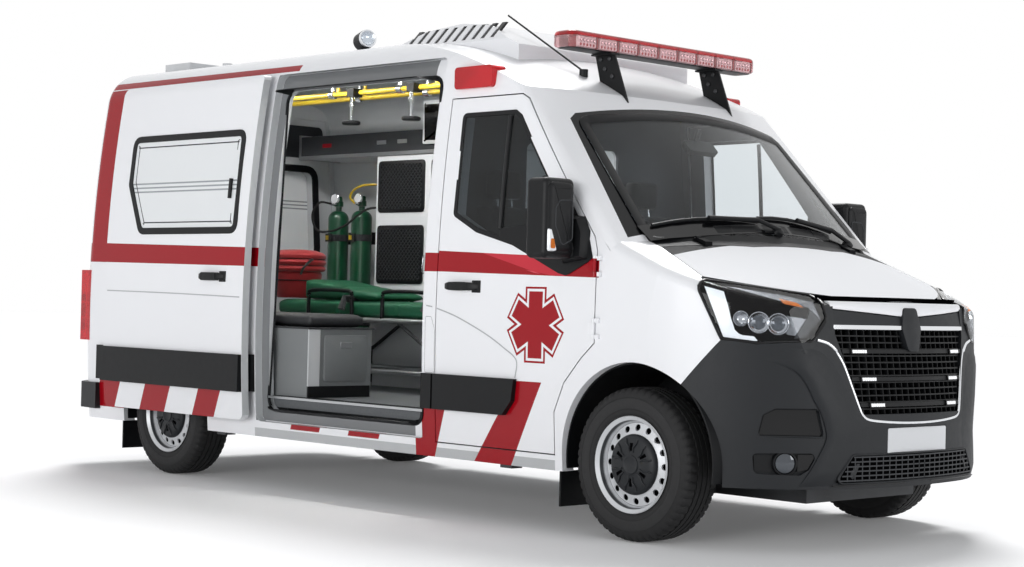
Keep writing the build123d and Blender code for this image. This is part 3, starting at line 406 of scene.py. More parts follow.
# Painted shade: a light grey band along the lower sill, where it curves under, stands in for its shade.
sill_painted_shade = ((184, 186, 188), [along((-2.8, 0.2), (-0.4, 0.2), (-0.4, 0.333), (-2.8, 0.333))])
side_marks = [sill_painted_shade, side_band, pillar, roof_strip, (RED, rear_blocks[:1]), door_blocks, recess_painted_shade,
              sill_dashes]
left_marks = [sill_painted_shade, side_band, pillar, roof_strip, (RED, rear_blocks), door_blocks]
slide_marks = [side_band, (RED, rear_blocks[:3])]
TAIL_BAND = (RED, [level(-1.1, 1.1, 1.19, 1.3)])
MATERIALS = {
    "side_left": body_paint("left_paint", left_marks, border=True),
    "side_right": body_paint("right_paint", side_marks, border=True),
    "sliding_door": body_paint("slide_paint", slide_marks),
    "roof": body_paint("roof_paint", [roof_strip], border=True),
    "front_door_left": body_paint("door_paint", door_marks),
    "rear_door_left": body_paint("tail_paint", [TAIL_BAND], first=(0, 1, 0)),
    "fenders": body_paint("fender_paint", [STRIPE], border=True),
    "bonnet": two_tone("bonnet_paint", WHITE, TRIM_BLACK, 0.1, -1, shine=0.04),
    "front_door_trim_left": two_tone("door_trim", TRIM_BLACK, WHITE, -0.26, 1, STRIPE),
    "roof_fittings": two_tone("roof_trim", TRIM_BLACK, (206, 208, 210), -3.5, -1),
    # The bulkhead's cab face takes the same painted cab shade.
    "bulkhead": two_tone("bulkhead_lining", (200, 202, 204), CAB_PAINTED_SHADE, CAB_BACK),
    "roof_unit": white_paint, "grille": gloss_black, "headlamps": clear_lens, "windscreen": screen_glass,
    # Right door glass darker as painted shade, left door glass clearer as painted light.
    "front_door_glass_left": far_glass_painted_light, "front_door_glass_right": near_glass_painted_shade, "floor_pan": floor_vinyl,
    "seats": seat_cloth, "bench_box": box_grey, "cabinets": cabinet_white, "oxygen_cylinders": bottle_green,
    "stretcher_frame": aluminium, "stretcher_mattress": vinyl_green, "grab_rails": rail_yellow,
}
for finish, names in (
        (black_plastic, ("cowl", "sliding_door_trim", "lower_trim", "dashboard", "steering_wheel")),
        (bumper_grey, ("front_bumper", "rear_bumper")),
        (frosted_glass, ("side_glass", "rear_door_glass_left", "rear_door_glass_right")),
        (red_lens, ("red_lamps", "light_bar")),
        (steel, ("chassis", "engine", "front_suspension", "rear_axle", "knuckle_left", "knuckle_right"))):
    MATERIALS.update(dict.fromkeys(names, finish))
for twin in ("front_door", "rear_door", "front_door_trim"):
    MATERIALS[f"{twin}_right"] = MATERIALS[f"{twin}_left"]
for place in WHEELS:
    x = 0.0 if "front" in place else REAR_X
    MATERIALS[f"rim_{place}"] = ringed(f"rim_paint_{place}", x, (214, 216, 219), RIM_PAINTED_SHADE_BANDS, 0.36, 0.2)
    MATERIALS[f"tyre_{place}"] = ringed(f"tyre_rubber_{place}", x, (27, 27, 28), TYRE_BANDS, 0.72, 0.0,
                                        0.0055)
for name, node in NODES.items():
    node.data.materials.clear()
    node.data.materials.append(MATERIALS[name])


# Shape helpers
def laid(axis, point, depth):
    """Point of a plane across an axis, at a depth along that axis."""
    a, b = point
    return {"x": (depth, a, b), "y": (a, depth, b), "z": (a, b, depth)}[axis]


SHARP_ANGLE, BEVEL_ANGLE = math.radians(38), math.radians(45)


class Piece:
    """Shapes of several finishes in one mesh that rides on a body, placed from the front axle."""

    def __init__(self, name, body="body"):
        self.name = name
        self.body = body
        self.mesh = bmesh.new()
        self.finishes = []

    def skin(self, points, faces, finish):
        if finish not in self.finishes:
            self.finishes.append(finish)
        corners = [self.mesh.verts.new(point) for point in points]
        for face in faces:
            made = self.mesh.faces.new([corners[index] for index in face])
            made.material_index = self.finishes.index(finish)
            made.smooth = True

    def loft(self, rings, finish, closed=True, caps=True, wrap=False):
        """Skin through rings of equally many points; wrap joins the last ring to the first."""
        count = len(rings[0])
        faces = []
        for row in range(len(rings) if wrap else len(rings) - 1):
            low, high = row * count, (row + 1) % len(rings) * count
            for step in range(count if closed else count - 1):
                after = (step + 1) % count
                faces.append((low + step, low + after, high + after, high + step))
        if caps and closed and not wrap:
            faces += [range(count), range((len(rings) - 1) * count, len(rings) * count)]
        self.skin([point for ring in rings for point in ring], faces, finish)

    def prism(self, outline, axis, start, end, finish):
        """Outline in the plane across an axis, carried from start to end."""
        self.loft([[laid(axis, point, depth) for point in outline] for depth in (start, end)], finish)

    def plate(self, outline, axis, steps, finish):
        """Outline in the plane across an axis, at steps of (place along the axis, growth)."""
        self.loft([[laid(axis, point, depth) for point in grown(outline, size)] for depth, size in steps],
                  finish)

    def tile(self, outline, place, outs, finish):
        """Outline laid on a face by a place function, from one stand-off to another."""
        self.loft([[place(a, b, out) for a, b in outline] for out in outs], finish)

    def box(self, low, high, finish):
        x, y, z = zip(low, high)
        self.prism(level(*x, *y), "z", *z, finish)

    def tube(self, path, radius, finish, sides=10, wrap=False):
        path = [Vector(point) for point in path]
        rings = []
        count = len(path)
        for index, point in enumerate(path):
            before = path[index - 1] if index or wrap else point
            after = path[(index + 1) % count] if index + 1 < count or wrap else point
            turn = (after - before).to_track_quat("Z", "Y")
            rings.append([point + turn @ Vector((radius * math.cos(a), radius * math.sin(a), 0))
                          for a in (2 * math.pi * step / sides for step in range(sides))])
        self.loft(rings, finish, wrap=wrap)

    def lathe(self, profile, centre, axis, finish, steps=40, wrap=False):
        """Profile of (along, radius) points turned about an axis through a centre."""
        turn = Vector(axis).to_track_quat("Z", "Y")
        rings = []
        for reach, radius in profile:
            ring = [(radius * math.cos(a), radius * math.sin(a), reach)
                    for a in (2 * math.pi * step / steps for step in range(steps))]
            rings.append([Vector(centre) + turn @ Vector(point) for point in ring])
        self.loft(rings, finish, wrap=wrap)

    def done(self, bevel=0.0, replaces=(), both_sides=False):
        bmesh.ops.translate(self.mesh, vec=(AXLE_X, 0, 0), verts=self.mesh.verts)
        if both_sides:
            made = bmesh.ops.duplicate(self.mesh,
                                       geom=self.mesh.verts[:] + self.mesh.edges[:] + self.mesh.faces[:])
            twins = [item for item in made["geom"] if isinstance(item, bmesh.types.BMVert)]
            bmesh.ops.scale(self.mesh, vec=(1, -1, 1), verts=twins)
        bmesh.ops.recalc_face_normals(self.mesh, faces=self.mesh.faces)
        data = bpy.data.meshes.new(self.name)
        self.mesh.to_mesh(data)
        self.mesh.free()
        data.set_sharp_from_angle(angle=SHARP_ANGLE)
        for finish in self.finishes:
            data.materials.append(finish)
        piece = bpy.data.objects.new(self.name, data)
        bpy.context.scene.collection.objects.link(piece)
        if bevel:
            edge = piece.modifiers.new("edges", "BEVEL")
            edge.width = bevel
            edge.segments = 2
            edge.limit_method = "ANGLE"
            edge.angle_limit = BEVEL_ANGLE
        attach(piece, self.body)
        if replaces:
            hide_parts(*replaces)
        return piece


def rounded(points, radius, steps=6):
    """Closed outline with its corners rounded."""
    loop = []
    for index, point in enumerate(points):
        here = Vector(point)
        before = Vector(points[index - 1]) - here
        after = Vector(points[(index + 1) % len(points)]) - here
        reach = min(radius / math.tan(before.angle(after) / 2), before.length * 0.48, after.length * 0.48)
        start, end = here + before.normalized() * reach, here + after.normalized() * reach
        for step in range(steps + 1):
            t = step / steps
            loop.append(start * (1 - t) ** 2 + here * 2 * t * (1 - t) + end * t * t)
    return loop


def grown(loop, amount):
    """Closed outline moved outward by an amount."""
    turn = winding(loop)
    result = []
    for index, point in enumerate(loop):
        way = Vector(loop[(index + 1) % len(loop)]) - Vector(loop[index - 1])
        way.normalize()
        result.append(Vector(point) + Vector((way.y, -way.x)) * amount * turn)
    return result


def sided(outline, side):
    """Outline across the body on its left (1) or right (-1) side."""
    return [(side * y, z) for y, z in outline]


def spaced(start, end, count):
    """Values from start to end with a count of equal gaps."""
    return [start + (end - start) * step / count for step in range(count + 1)]


def bent(points, steps=10):
    """Smooth path through points."""
    points = [Vector(point) for point in points]
    rail = [points[0] * 2 - points[1]] + points + [points[-1] * 2 - points[-2]]
    path = []
    for index in range(1, len(rail) - 2):
        a, b, c, d = rail[index - 1:index + 3]
        for step in range(steps):
            t = step / steps
            square, cube = a * 2 - b * 5 + c * 4 - d, b * 3 - a - c * 3 + d
            path.append(0.5 * (b * 2 + (c - a) * t + square * t * t + cube * t**3))
    return path + [points[-1]]


TREES = {}


def cast(nodes, start, way):
    """Where a line first meets the skins of CAD nodes."""
    best = None
    for node in nodes:
        if node not in TREES:
            mesh = NODES[node].data
            TREES[node] = BVHTree.FromPolygons([v.co for v in mesh.vertices],
                                               [p.vertices for p in mesh.polygons])
        place, _, _, distance = TREES[node].ray_cast(Vector(start) + Vector((AXLE_X, 0, 0)),
                                                     Vector(way).normalized())
        if place is not None and (best is None or distance < best[1]):
            best = (place - Vector((AXLE_X, 0, 0)), distance)
    return best[0] if best else None


SIDE_INNER = 0.7
NOSE_X, NOSE_RADIUS = 0.869, 2.2
NOSE_UPRIGHT, NOSE_LEAN = 0.56, 0.1405
TIP = 0.0005
UP = (0, 0, 1)


def on_side(x, z, nodes, side, out=0.0):
    """Point on a body side, seen from outside."""
    for shift in (0.0, 0.012, -0.012):
        hit = cast(nodes, (x + shift, side * 2, z), (0, -side, 0))
        if hit and abs(hit.y) > SIDE_INNER:
            return Vector((x, hit.y + side * out, z))
    return Vector((x, side * (1.0 + out), z))


def on_nose(y, z, out=0.0):
    """Point on the bowed front face."""
    lean = max(0.0, z - NOSE_UPRIGHT) * NOSE_LEAN
    return Vector((NOSE_X - lean - NOSE_RADIUS + math.sqrt(NOSE_RADIUS**2 - y * y) + out, y, z))


def side_place(skins, side, sink):
    """Place function on a body side for bands, sunk by a depth."""
    return lambda p, out: on_side(p[0], p[1], skins, side, out - sink)


def bar_cut(place, low, high, back, front):
    """Four corners of a bar's cross cut between two edges on a face."""
    return [place(*low, back), place(*low, front), place(*high, front), place(*high, back)]


def band(piece, loop, place, inner, outer, rise, finish):
    """Raised band along a loop; place maps an outline point and a stand-off to space."""
    edges = [grown(loop, amount) for amount in (inner, inner + 0.003, outer - 0.003, outer)]
    rings = [[place(edge[index], height) for edge, height in zip(edges, (0.0, rise, rise, 0.0))]
             for index in range(len(loop))]
    piece.loft(rings, finish, closed=False, wrap=True)


# Wheels
TYRE_STEPS = 216
FLANK = [(0.0125, 0.349, 0), (0.0135, 0.341, 0), (0.0195, 0.341, 0), (0.0205, 0.349, 0),
         (0.0435, 0.3488, 0), (0.0445, 0.341, 0), (0.0515, 0.341, 0), (0.0525, 0.3485, 1),
         (0.072, 0.3478, 1), (0.088, 0.3445, 1), (0.097, 0.337, 1), (0.1035, 0.327, 1), (0.1075, 0.316, 0),
         (0.1105, 0.303, 0), (0.1095, 0.301, 0), (0.1105, 0.299, 0), (0.1122, 0.284, 0), (0.1122, 0.266, 0),
         (0.111, 0.252, 0), (0.1095, 0.25, 0), (0.1095, 0.246, 0), (0.1085, 0.24, 0), (0.1045, 0.23, 0),
         (0.099, 0.222, 0), (0.095, 0.211, 0)]
PROFILE = [(-a, r, cut) for a, r, cut in reversed(FLANK)] + FLANK
CAP = [(0.108, 0.001), (0.108, 0.028), (0.105, 0.032), (0.104, 0.07), (0.102, 0.1), (0.098, 0.122),
       (0.09, 0.134), (0.08, 0.138), (0.074, 0.137)]
CAP_BOSS = [(0.105, 0.045), (0.1095, 0.043), (0.1105, 0.038), (0.1085, 0.034), (0.1085, TIP)]
RIM_HOLE = [(0.048, 0.0148), (0.0565, 0.0148), (0.0575, 0.0135), (0.0575, TIP)]
RIB = [(0.056, 0.011, 0.1045), (0.078, 0.013, 0.1065), (0.098, 0.03, 0.1045), (0.116, 0.034, 0.0985)]
SLIT = [(0.062, -0.005), (0.062, 0.005), (0.098, 0.008), (0.098, -0.008)]
for place in WHEELS:
    low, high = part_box(f"tyre_{place}")
    centre = (low + high) / 2 - Vector((AXLE_X, 0, 0))
    side = 1 if centre.y > 0 else -1
    tyre = Piece(f"road_tyre_{place}", f"wheel_{place}")
    rings = []
    for step in range(TYRE_STEPS):
        angle = 2 * math.pi * step / TYRE_STEPS
        ring = []
        for across, radius, cut in PROFILE:
            lug = 0.007 if cut and step % 4 == 3 else 0.0
            reach = radius - lug
            ring.append(centre + Vector((reach * math.cos(angle), across, reach * math.sin(angle))))
        rings.append(ring)
    tyre.loft(rings, MATERIALS[f"tyre_{place}"], wrap=True)
    tyre.done(replaces=(f"tyre_{place}",))
    cap = Piece(f"wheel_cap_{place}", f"wheel_{place}")
    facing = (0, side, 0)
    cap.lathe(CAP, centre, facing, cap_grey, 48)
    cap.lathe(CAP_BOSS, centre, facing, cap_grey, 36)
    for rib in range(6):
        turn = math.radians(60 * rib + 30)
        out_way = Vector((math.cos(turn), 0, math.sin(turn)))
        cross_way = Vector((-math.sin(turn), 0, math.cos(turn)))
        for lean in (-1, 1):
            cap.tube([centre + out_way * a + cross_way * b * lean + Vector((0, side * h, 0))
                      for a, b, h in RIB], 0.0045, cap_grey, 8)
        # The slits and rim holes are filled with flat black that stands in for the shade in the openings:
        # painted shade.
        cap.loft([[centre + out_way * a + cross_way * b + Vector((0, side * h, 0)) for a, b in SLIT]
                  for h in (0.098, 0.1046)], painted_void_shade)
    for hole in range(16):
        turn = math.radians(22.5 * hole)
        spot = centre + Vector((math.cos(turn), 0, math.sin(turn))) * 0.166
        cap.lathe(RIM_HOLE, spot, facing, painted_void_shade, 20)
    valve = centre + Vector((0.14, side * 0.03, 0.115))
    cap.tube([valve, valve + Vector((-0.01, side * 0.045, -0.008))], 0.005, rubber, 8)
    cap.done()

# Grille, its chrome surround, lower bars and number plate
GRILLE_LOW, GRILLE_HIGH, GRILLE_BACK = 0.605, 0.985, -0.035
GRILLE_FLARE, LIP_RISE = 0.343, 0.0655
GREY_LIP = ((1.004, 0, -0.03), (1.004, 0, -0.002), (1.037, LIP_RISE, -0.006), (1.037, LIP_RISE, -0.03))
WHITE_LIP = ((1.042, LIP_RISE, -0.03), (1.042, LIP_RISE, -0.006), (1.048, LIP_RISE, -0.001),
             (1.056, LIP_RISE, 0.0), (1.1, 0, -0.001), (1.108, 0, -0.008), (1.108, 0, -0.03))


def grille_half(z):
    """Half of the grille's width at a height."""
    return 0.375 + (z - 0.61) * GRILLE_FLARE


grille = Piece("front_grille")
levels = [0.6 + 0.53 * step / 14 for step in range(15)]
# A flat black sheet behind the slats stands in for the shade in the grille opening: painted shade.
grille.loft([[on_nose(-grille_half(z) + 2 * grille_half(z) * step / 12, z, -0.042) for step in range(13)]
             for z in levels], painted_void_shade, closed=False)
slats = [GRILLE_LOW + (GRILLE_HIGH - GRILLE_LOW) * step / 13 for step in range(14)]
STROBE_BARS = (0.888, 0.766, 0.652)
for z, thick, front in [(z, 0.0035, -0.012) for z in slats] + [(z, 0.009, -0.002) for z in STROBE_BARS]:
    half = grille_half(z) - 0.004
    grille.loft([bar_cut(on_nose, (y, z - thick), (y, z + thick), GRILLE_BACK, front)
                 for y in spaced(-half, half, 16)], black_plastic)
for step in range(21):
    y = -0.45 + 0.045 * step
    foot = max(GRILLE_LOW, 0.61 + (abs(y) - 0.37) / GRILLE_FLARE)
    grille.loft([bar_cut(on_nose, (y - 0.002, z), (y + 0.002, z), GRILLE_BACK, -0.014)
                 for z in (foot, (foot + GRILLE_HIGH) / 2, GRILLE_HIGH)], black_plastic)
for side in (-1, 1):
    rails = [side * (0.06 + 0.445 * step / 10) for step in range(11)]
    grille.loft([bar_cut(on_nose, (y, 0.985), (y, 1.004), -0.03, 0.002) for y in rails], chrome)
    rails = [side * 0.515 * step / 10 for step in range(11)]
    for lip, finish in ((GREY_LIP, bumper_grey), (WHITE_LIP, white_paint)):
        grille.loft([[on_nose(y, z + rise * abs(y), out) for z, rise, out in lip] for y in rails], finish)
plaque = rounded([(-0.04, 0.888), (0.04, 0.888), (0.074, 0.99), (0.05, 1.085), (-0.05, 1.085),
                  (-0.074, 0.99)], 0.025)
grille.loft([[on_nose(y, z, out) for y, z in grown(plaque, size)]
             for size, out in ((0.0, -0.03), (0.0, 0.006), (-0.008, 0.01))], bumper_grey)
for y, z in ((0.375, 0.888), (0.33, 0.766), (0.29, 0.652)):
    for side in (-1, 1):
        y0 = side * y
        grille.tile(level(y0 - 0.048, y0 + 0.048, z - 0.012, z + 0.012), on_nose, (-0.01, 0.006),
                    gloss_black)
        for cell in range(6):
            at = y0 - 0.036 + 0.0144 * cell
            grille.tile(level(at - 0.0055, at + 0.0055, z - 0.007, z + 0.007), on_nose, (0.004, 0.009),
                        lamp_white)
grille.done(bevel=0.001, replaces=("grille",))

surround = Piece("grille_surround")
SURROUND = [(0.6, 0.936), (0.545, 0.921), (0.505, 0.892), (0.475, 0.85), (0.455, 0.807), (0.423, 0.718),
            (0.395, 0.64), (0.378, 0.607), (0.345, 0.587), (0.259, 0.577), (0.13, 0.57), (0.0, 0.568)]
path = [(-y, z, 0) for y, z in SURROUND] + [(y, z, 0) for y, z in reversed(SURROUND[:-1])]
surround.tube([on_nose(y, z, -0.007) if abs(y) < 0.5 else
               cast(["front_bumper"], (2, y, z), (-1, 0, 0)) or on_nose(y, z) for y, z, _ in bent(path, 5)],
              0.0085, chrome, 10)
surround.done()

lower = Piece("lower_grille")
for step in range(19):
    y = -0.45 + 0.05 * step
    lower.box(on_nose(y, 0.32, -0.04) - Vector((0, 0.002, 0)),
              on_nose(y, 0.4, -0.012) + Vector((0, 0.002, 0)), black_plastic)
for z in (0.335, 0.357, 0.379):
    lower.loft([bar_cut(on_nose, (y, z - 0.0025), (y, z + 0.0025), -0.04, -0.012)
                for y in spaced(-0.45, 0.45, 12)], black_plastic)
# A gloss black sheet behind the bars stands in for the shade behind the lower grille: painted shade.
lower.loft([[on_nose(y, z, -0.042) for y in spaced(-0.45, 0.45, 12)] for z in (0.32, 0.36, 0.4)],
           gloss_black, closed=False)
lower.done()

plate = Piece("blank_plate")
plate_x = cast(["front_bumper"], (2, 0, 0.49), (-1, 0, 0)).x
plate.prism(rounded(level(-0.228, 0.228, 0.432, 0.548), 0.01), "x", plate_x - 0.004,
            plate_x + 0.004, cabinet_white)
plate.done(bevel=0.001)


# Headlamps and fog lamps
def patch(piece, outline, place, finish, front, back, columns=14, rows=4):
    """Plate that follows a curved face inside an outline; place takes two flat values and a stand-off."""
    first = min(p[0] for p in outline) + 1e-4
    last = max(p[0] for p in outline) - 1e-4
    rings = []
    for column in range(columns + 1):
        at = first + (last - first) * column / columns
        cuts = [p[1] + (q[1] - p[1]) * (at - p[0]) / (q[0] - p[0])
                for p, q in around(outline) if (p[0] - at) * (q[0] - at) < 0]
        heights = [min(cuts) + (max(cuts) - min(cuts)) * row / rows for row in range(rows + 1)]
        rings.append([place(at, height, front) for height in heights]
                     + [place(at, height, back) for height in reversed(heights)])
    piece.loft(rings, finish)


ROOT2 = math.sqrt(2)
CORNER = (1, -1, 0)


def corner_point(node, s, z, out, middle, shares):
    """Point on the right front corner, seen along the diagonal; a line that misses moves to the middle."""
    for share in shares:
        aim = s + (middle[0] - s) * share
        start = ((aim + 3) / ROOT2, (aim - 3) / ROOT2, z + (middle[1] - z) * share)
        hit = cast([node], start, (-1, 1, 0))
        if hit:
            break
    depth = (hit.x - hit.y) / ROOT2 + out
    return Vector(((s + depth) / ROOT2, (s - depth) / ROOT2, z))


def lamp_face(s, z, out):
    """Point on the right headlamp, from a distance along the corner's diagonal plane and a height."""
    return corner_point("headlamps", s, z, out, (-0.15, 1.03), (0.0, 0.04, 0.08, 0.12, 0.16, 0.2, 0.3, 0.4))


LAMP_EDGE = [(-0.431, 1.150), (-0.405, 1.188), (0.071, 1.131), (0.115, 1.107), (0.135, 1.026),
             (0.074, 0.930), (-0.173, 0.918), (-0.329, 0.934)]
LIGHT_GUIDE = [(-0.401, 1.159), (-0.313, 0.928), (-0.170, 0.926), (-0.179, 0.945), (-0.246, 0.950),
               (-0.274, 0.976), (-0.317, 1.137)]
TOP_BAND = [(-0.309, 1.161), (-0.053, 1.127), (0.101, 1.094), (0.109, 1.026), (0.055, 1.077),
            (-0.062, 1.099)]
NOSE_BAND = [(0.109, 1.026), (0.04, 0.945), (-0.01, 0.94), (0.05, 1.03), (0.06, 1.07)]
INDICATOR = [(-0.075, 1.112), (0.0, 1.096), (0.03, 1.075), (-0.06, 1.09)]
BULBS = [(-0.243, 1.021, 0.032), (-0.166, 1.006, 0.044), (-0.082, 1.001, 0.044)]
WEDGE = [(-0.045, 1.038), (0.05, 1.024), (0.012, 0.948), (-0.045, 0.958)]
lamps = Piece("headlamp_inside")
# Flat black back plate across the lamp stands in for the shade in its depth: painted shade.
patch(lamps, LAMP_EDGE, lamp_face, painted_void_shade, -0.034, -0.037, 20, 6)
patch(lamps, LIGHT_GUIDE, lamp_face, light_guide, -0.006, -0.03)
patch(lamps, TOP_BAND, lamp_face, lamp_silver, -0.008, -0.03)
patch(lamps, NOSE_BAND, lamp_face, dark_grey, -0.012, -0.03)
patch(lamps, WEDGE, lamp_face, lamp_silver, -0.018, -0.032, 8, 3)
patch(lamps, INDICATOR, lamp_face, amber_lens, -0.003, -0.012, 8, 2)
for s, z, radius in BULBS:
    bowl = [(0.0, radius * 1.08), (0.02, radius * 1.08), (0.022, radius), (0.008, radius * 0.6),
            (0.003, radius * 0.3), (0.003, TIP)]
    lamps.lathe(bowl, lamp_face(s, z, -0.034), CORNER, lamp_chrome, 28)
    if radius > 0.035:
        dome = [(0.003, radius * 0.78), (0.012, radius * 0.7), (0.017, radius * 0.4), (0.019, TIP)]
        lamps.lathe(dome, lamp_face(s, z, -0.034), CORNER, projector_glass, 28)
lamps.done(both_sides=True)

edge = Piece("headlamp_edge")
path = rounded(LAMP_EDGE, 0.03, 4)
edge.tube([lamp_face(s, z, 0.0) for s, z in path], 0.007, gloss_black, 8, wrap=True)
edge.done(both_sides=True)

fog = Piece("fog_lamps")
turn = math.radians(52)
facing = Vector((math.sin(turn), -math.cos(turn), 0))
sideways = Vector((math.cos(turn), math.sin(turn), 0))


def on_pocket(a, z, out, floor=0.95):
    """Point on the floor of a bumper corner pocket."""
    return facing * (floor + out) + sideways * a + Vector((0, 0, z))


def on_upper_pocket(a, z, out):
    """Point on the floor of the upper pocket."""
    return on_pocket(a, z, out, 0.94)


fog_centre = on_pocket(-0.158, 0.397, 0)
for profile, finish in (
        ([(0.0, 0.056), (0.02, 0.056), (0.026, 0.053), (0.027, 0.048), (0.018, 0.043), (0.004, 0.04),
          (0.004, TIP)], black_plastic),
        ([(0.006, TIP), (0.006, 0.012), (0.016, 0.041), (0.019, 0.043), (0.015, 0.0435)], gloss_black),
        ([(0.02, TIP), (0.0185, 0.03), (0.016, 0.042), (0.021, 0.042), (0.024, 0.03), (0.026, TIP)],
         projector_glass)):
    fog.lathe(profile, fog_centre, facing, finish, 36)
fog.tile([(-0.1, 0.435), (-0.018, 0.437), (-0.055, 0.372), (-0.1, 0.36)], on_pocket, (0.0, 0.012),
         gloss_black)
fog.tile([(-0.295, 0.432), (-0.212, 0.432), (-0.212, 0.358), (-0.29, 0.358)], on_pocket, (0.0, 0.008),
         black_plastic)
fog.tile([(-0.272, 0.515), (-0.25, 0.604), (-0.2, 0.628), (-0.02, 0.63), (0.01, 0.512)], on_upper_pocket,
         (0.0, 0.004), gloss_black)
fog.tile(level(-0.285, 0.018, 0.51, 0.516), on_upper_pocket, (0.0, 0.03), bumper_grey)
cover = rounded(level(0.5, 0.563, 0.5, 0.557), 0.008, 3)
for size, out, finish in ((0.0, 0.0006, black_plastic), (-0.003, 0.0016, bumper_grey)):
    fog.loft([[(cast(["front_bumper"], (2, -y, z), (-1, 0, 0)) or on_nose(-y, z)) + Vector((rise, 0, 0))
               for y, z in grown(cover, size)] for rise in (-0.004, out)], finish)
fog.done(both_sides=True)

# Light bar
bar = Piece("warning_light_bar")
bar_plan = rounded(level(-0.848, -0.692, -0.713, 0.713), 0.06, 8)
bar.plate(bar_plan, "z", [(2.3155, -0.03), (2.3165, -0.024), (2.3195, -0.018), (2.32, -0.018)],
          black_plastic)
bar.plate(bar_plan, "z", [(2.3202, -0.016), (2.3225, -0.007), (2.33, -0.001), (2.338, 0.0), (2.376, 0.0),
                          (2.378, -0.003)], pink_lens)
bar.plate(bar_plan, "z", [(2.3782, -0.002), (2.38, 0.0), (2.39, -0.003), (2.397, -0.008), (2.402, -0.02),
                          (2.4045, -0.036)], red_lens)
for index in range(9):
    y = -0.6 + 0.15 * index
    for x0, x1 in ((-0.719, -0.703), (-0.837, -0.821)):
        bar.box((x0, y - 0.062, 2.3265), (x1, y + 0.062, 2.3745), light_guide)
        bar.box((x0 - 0.004, y - 0.068, 2.38), (x1 + 0.004, y + 0.068, 2.393), chrome)
    for cell in range(5):
        at = y - 0.046 + 0.023 * cell
        for x, way in ((-0.7035, 1), (-0.8365, -1)):
            bar.lathe([(0.0, 0.0098), (0.004, 0.0092), (0.002, 0.006), (0.0015, TIP)], (x, at, 2.3565),
                      (way, 0, 0), chrome, 10)
            bar.lathe([(0.0, 0.007), (0.0025, 0.006), (0.0035, TIP)], (x, at, 2.336), (way, 0, 0), red_film,
                      8)
    bar.box((-0.8, y - 0.02, 2.33), (-0.74, y + 0.02, 2.388), red_film)
    bar.box((-0.716, y + 0.068, 2.325), (-0.698, y + 0.074, 2.375), red_film)
bar.done(replaces=("light_bar",))

SEARCHLIGHT, SEARCH_AIM = (-2.482, -0.5245, 2.5115), (0.96, -0.27, 0.16)
fixings = Piece("bar_fixings")
for y in (-0.4, 0.4):
    for x, z in ((-0.79, 2.29), (-0.73, 2.29), (-0.76, 2.24), (-0.71, 2.2)):
        fixings.lathe([(0.0, 0.011), (0.005, 0.011), (0.007, 0.008), (0.007, TIP)], (x, y - 0.005, z),
                      (0, -1, 0), steel, 12)
    fixings.prism(rounded(level(-0.835, -0.695, 2.316, 2.306), 0.003, 2), "y", y - 0.03,
                  y + 0.03, black_plastic)
fixings.lathe([(0.0, 0.05), (0.012, 0.0515), (0.02, 0.0505), (0.022, 0.045), (0.008, 0.03), (0.004, TIP)],
              SEARCHLIGHT, SEARCH_AIM, chrome, 32)
fixings.lathe([(0.016, TIP), (0.014, 0.03), (0.01, 0.044), (0.018, 0.045), (0.022, 0.03), (0.024, TIP)],
              SEARCHLIGHT, SEARCH_AIM, clear_lens, 32)
fixings.done()

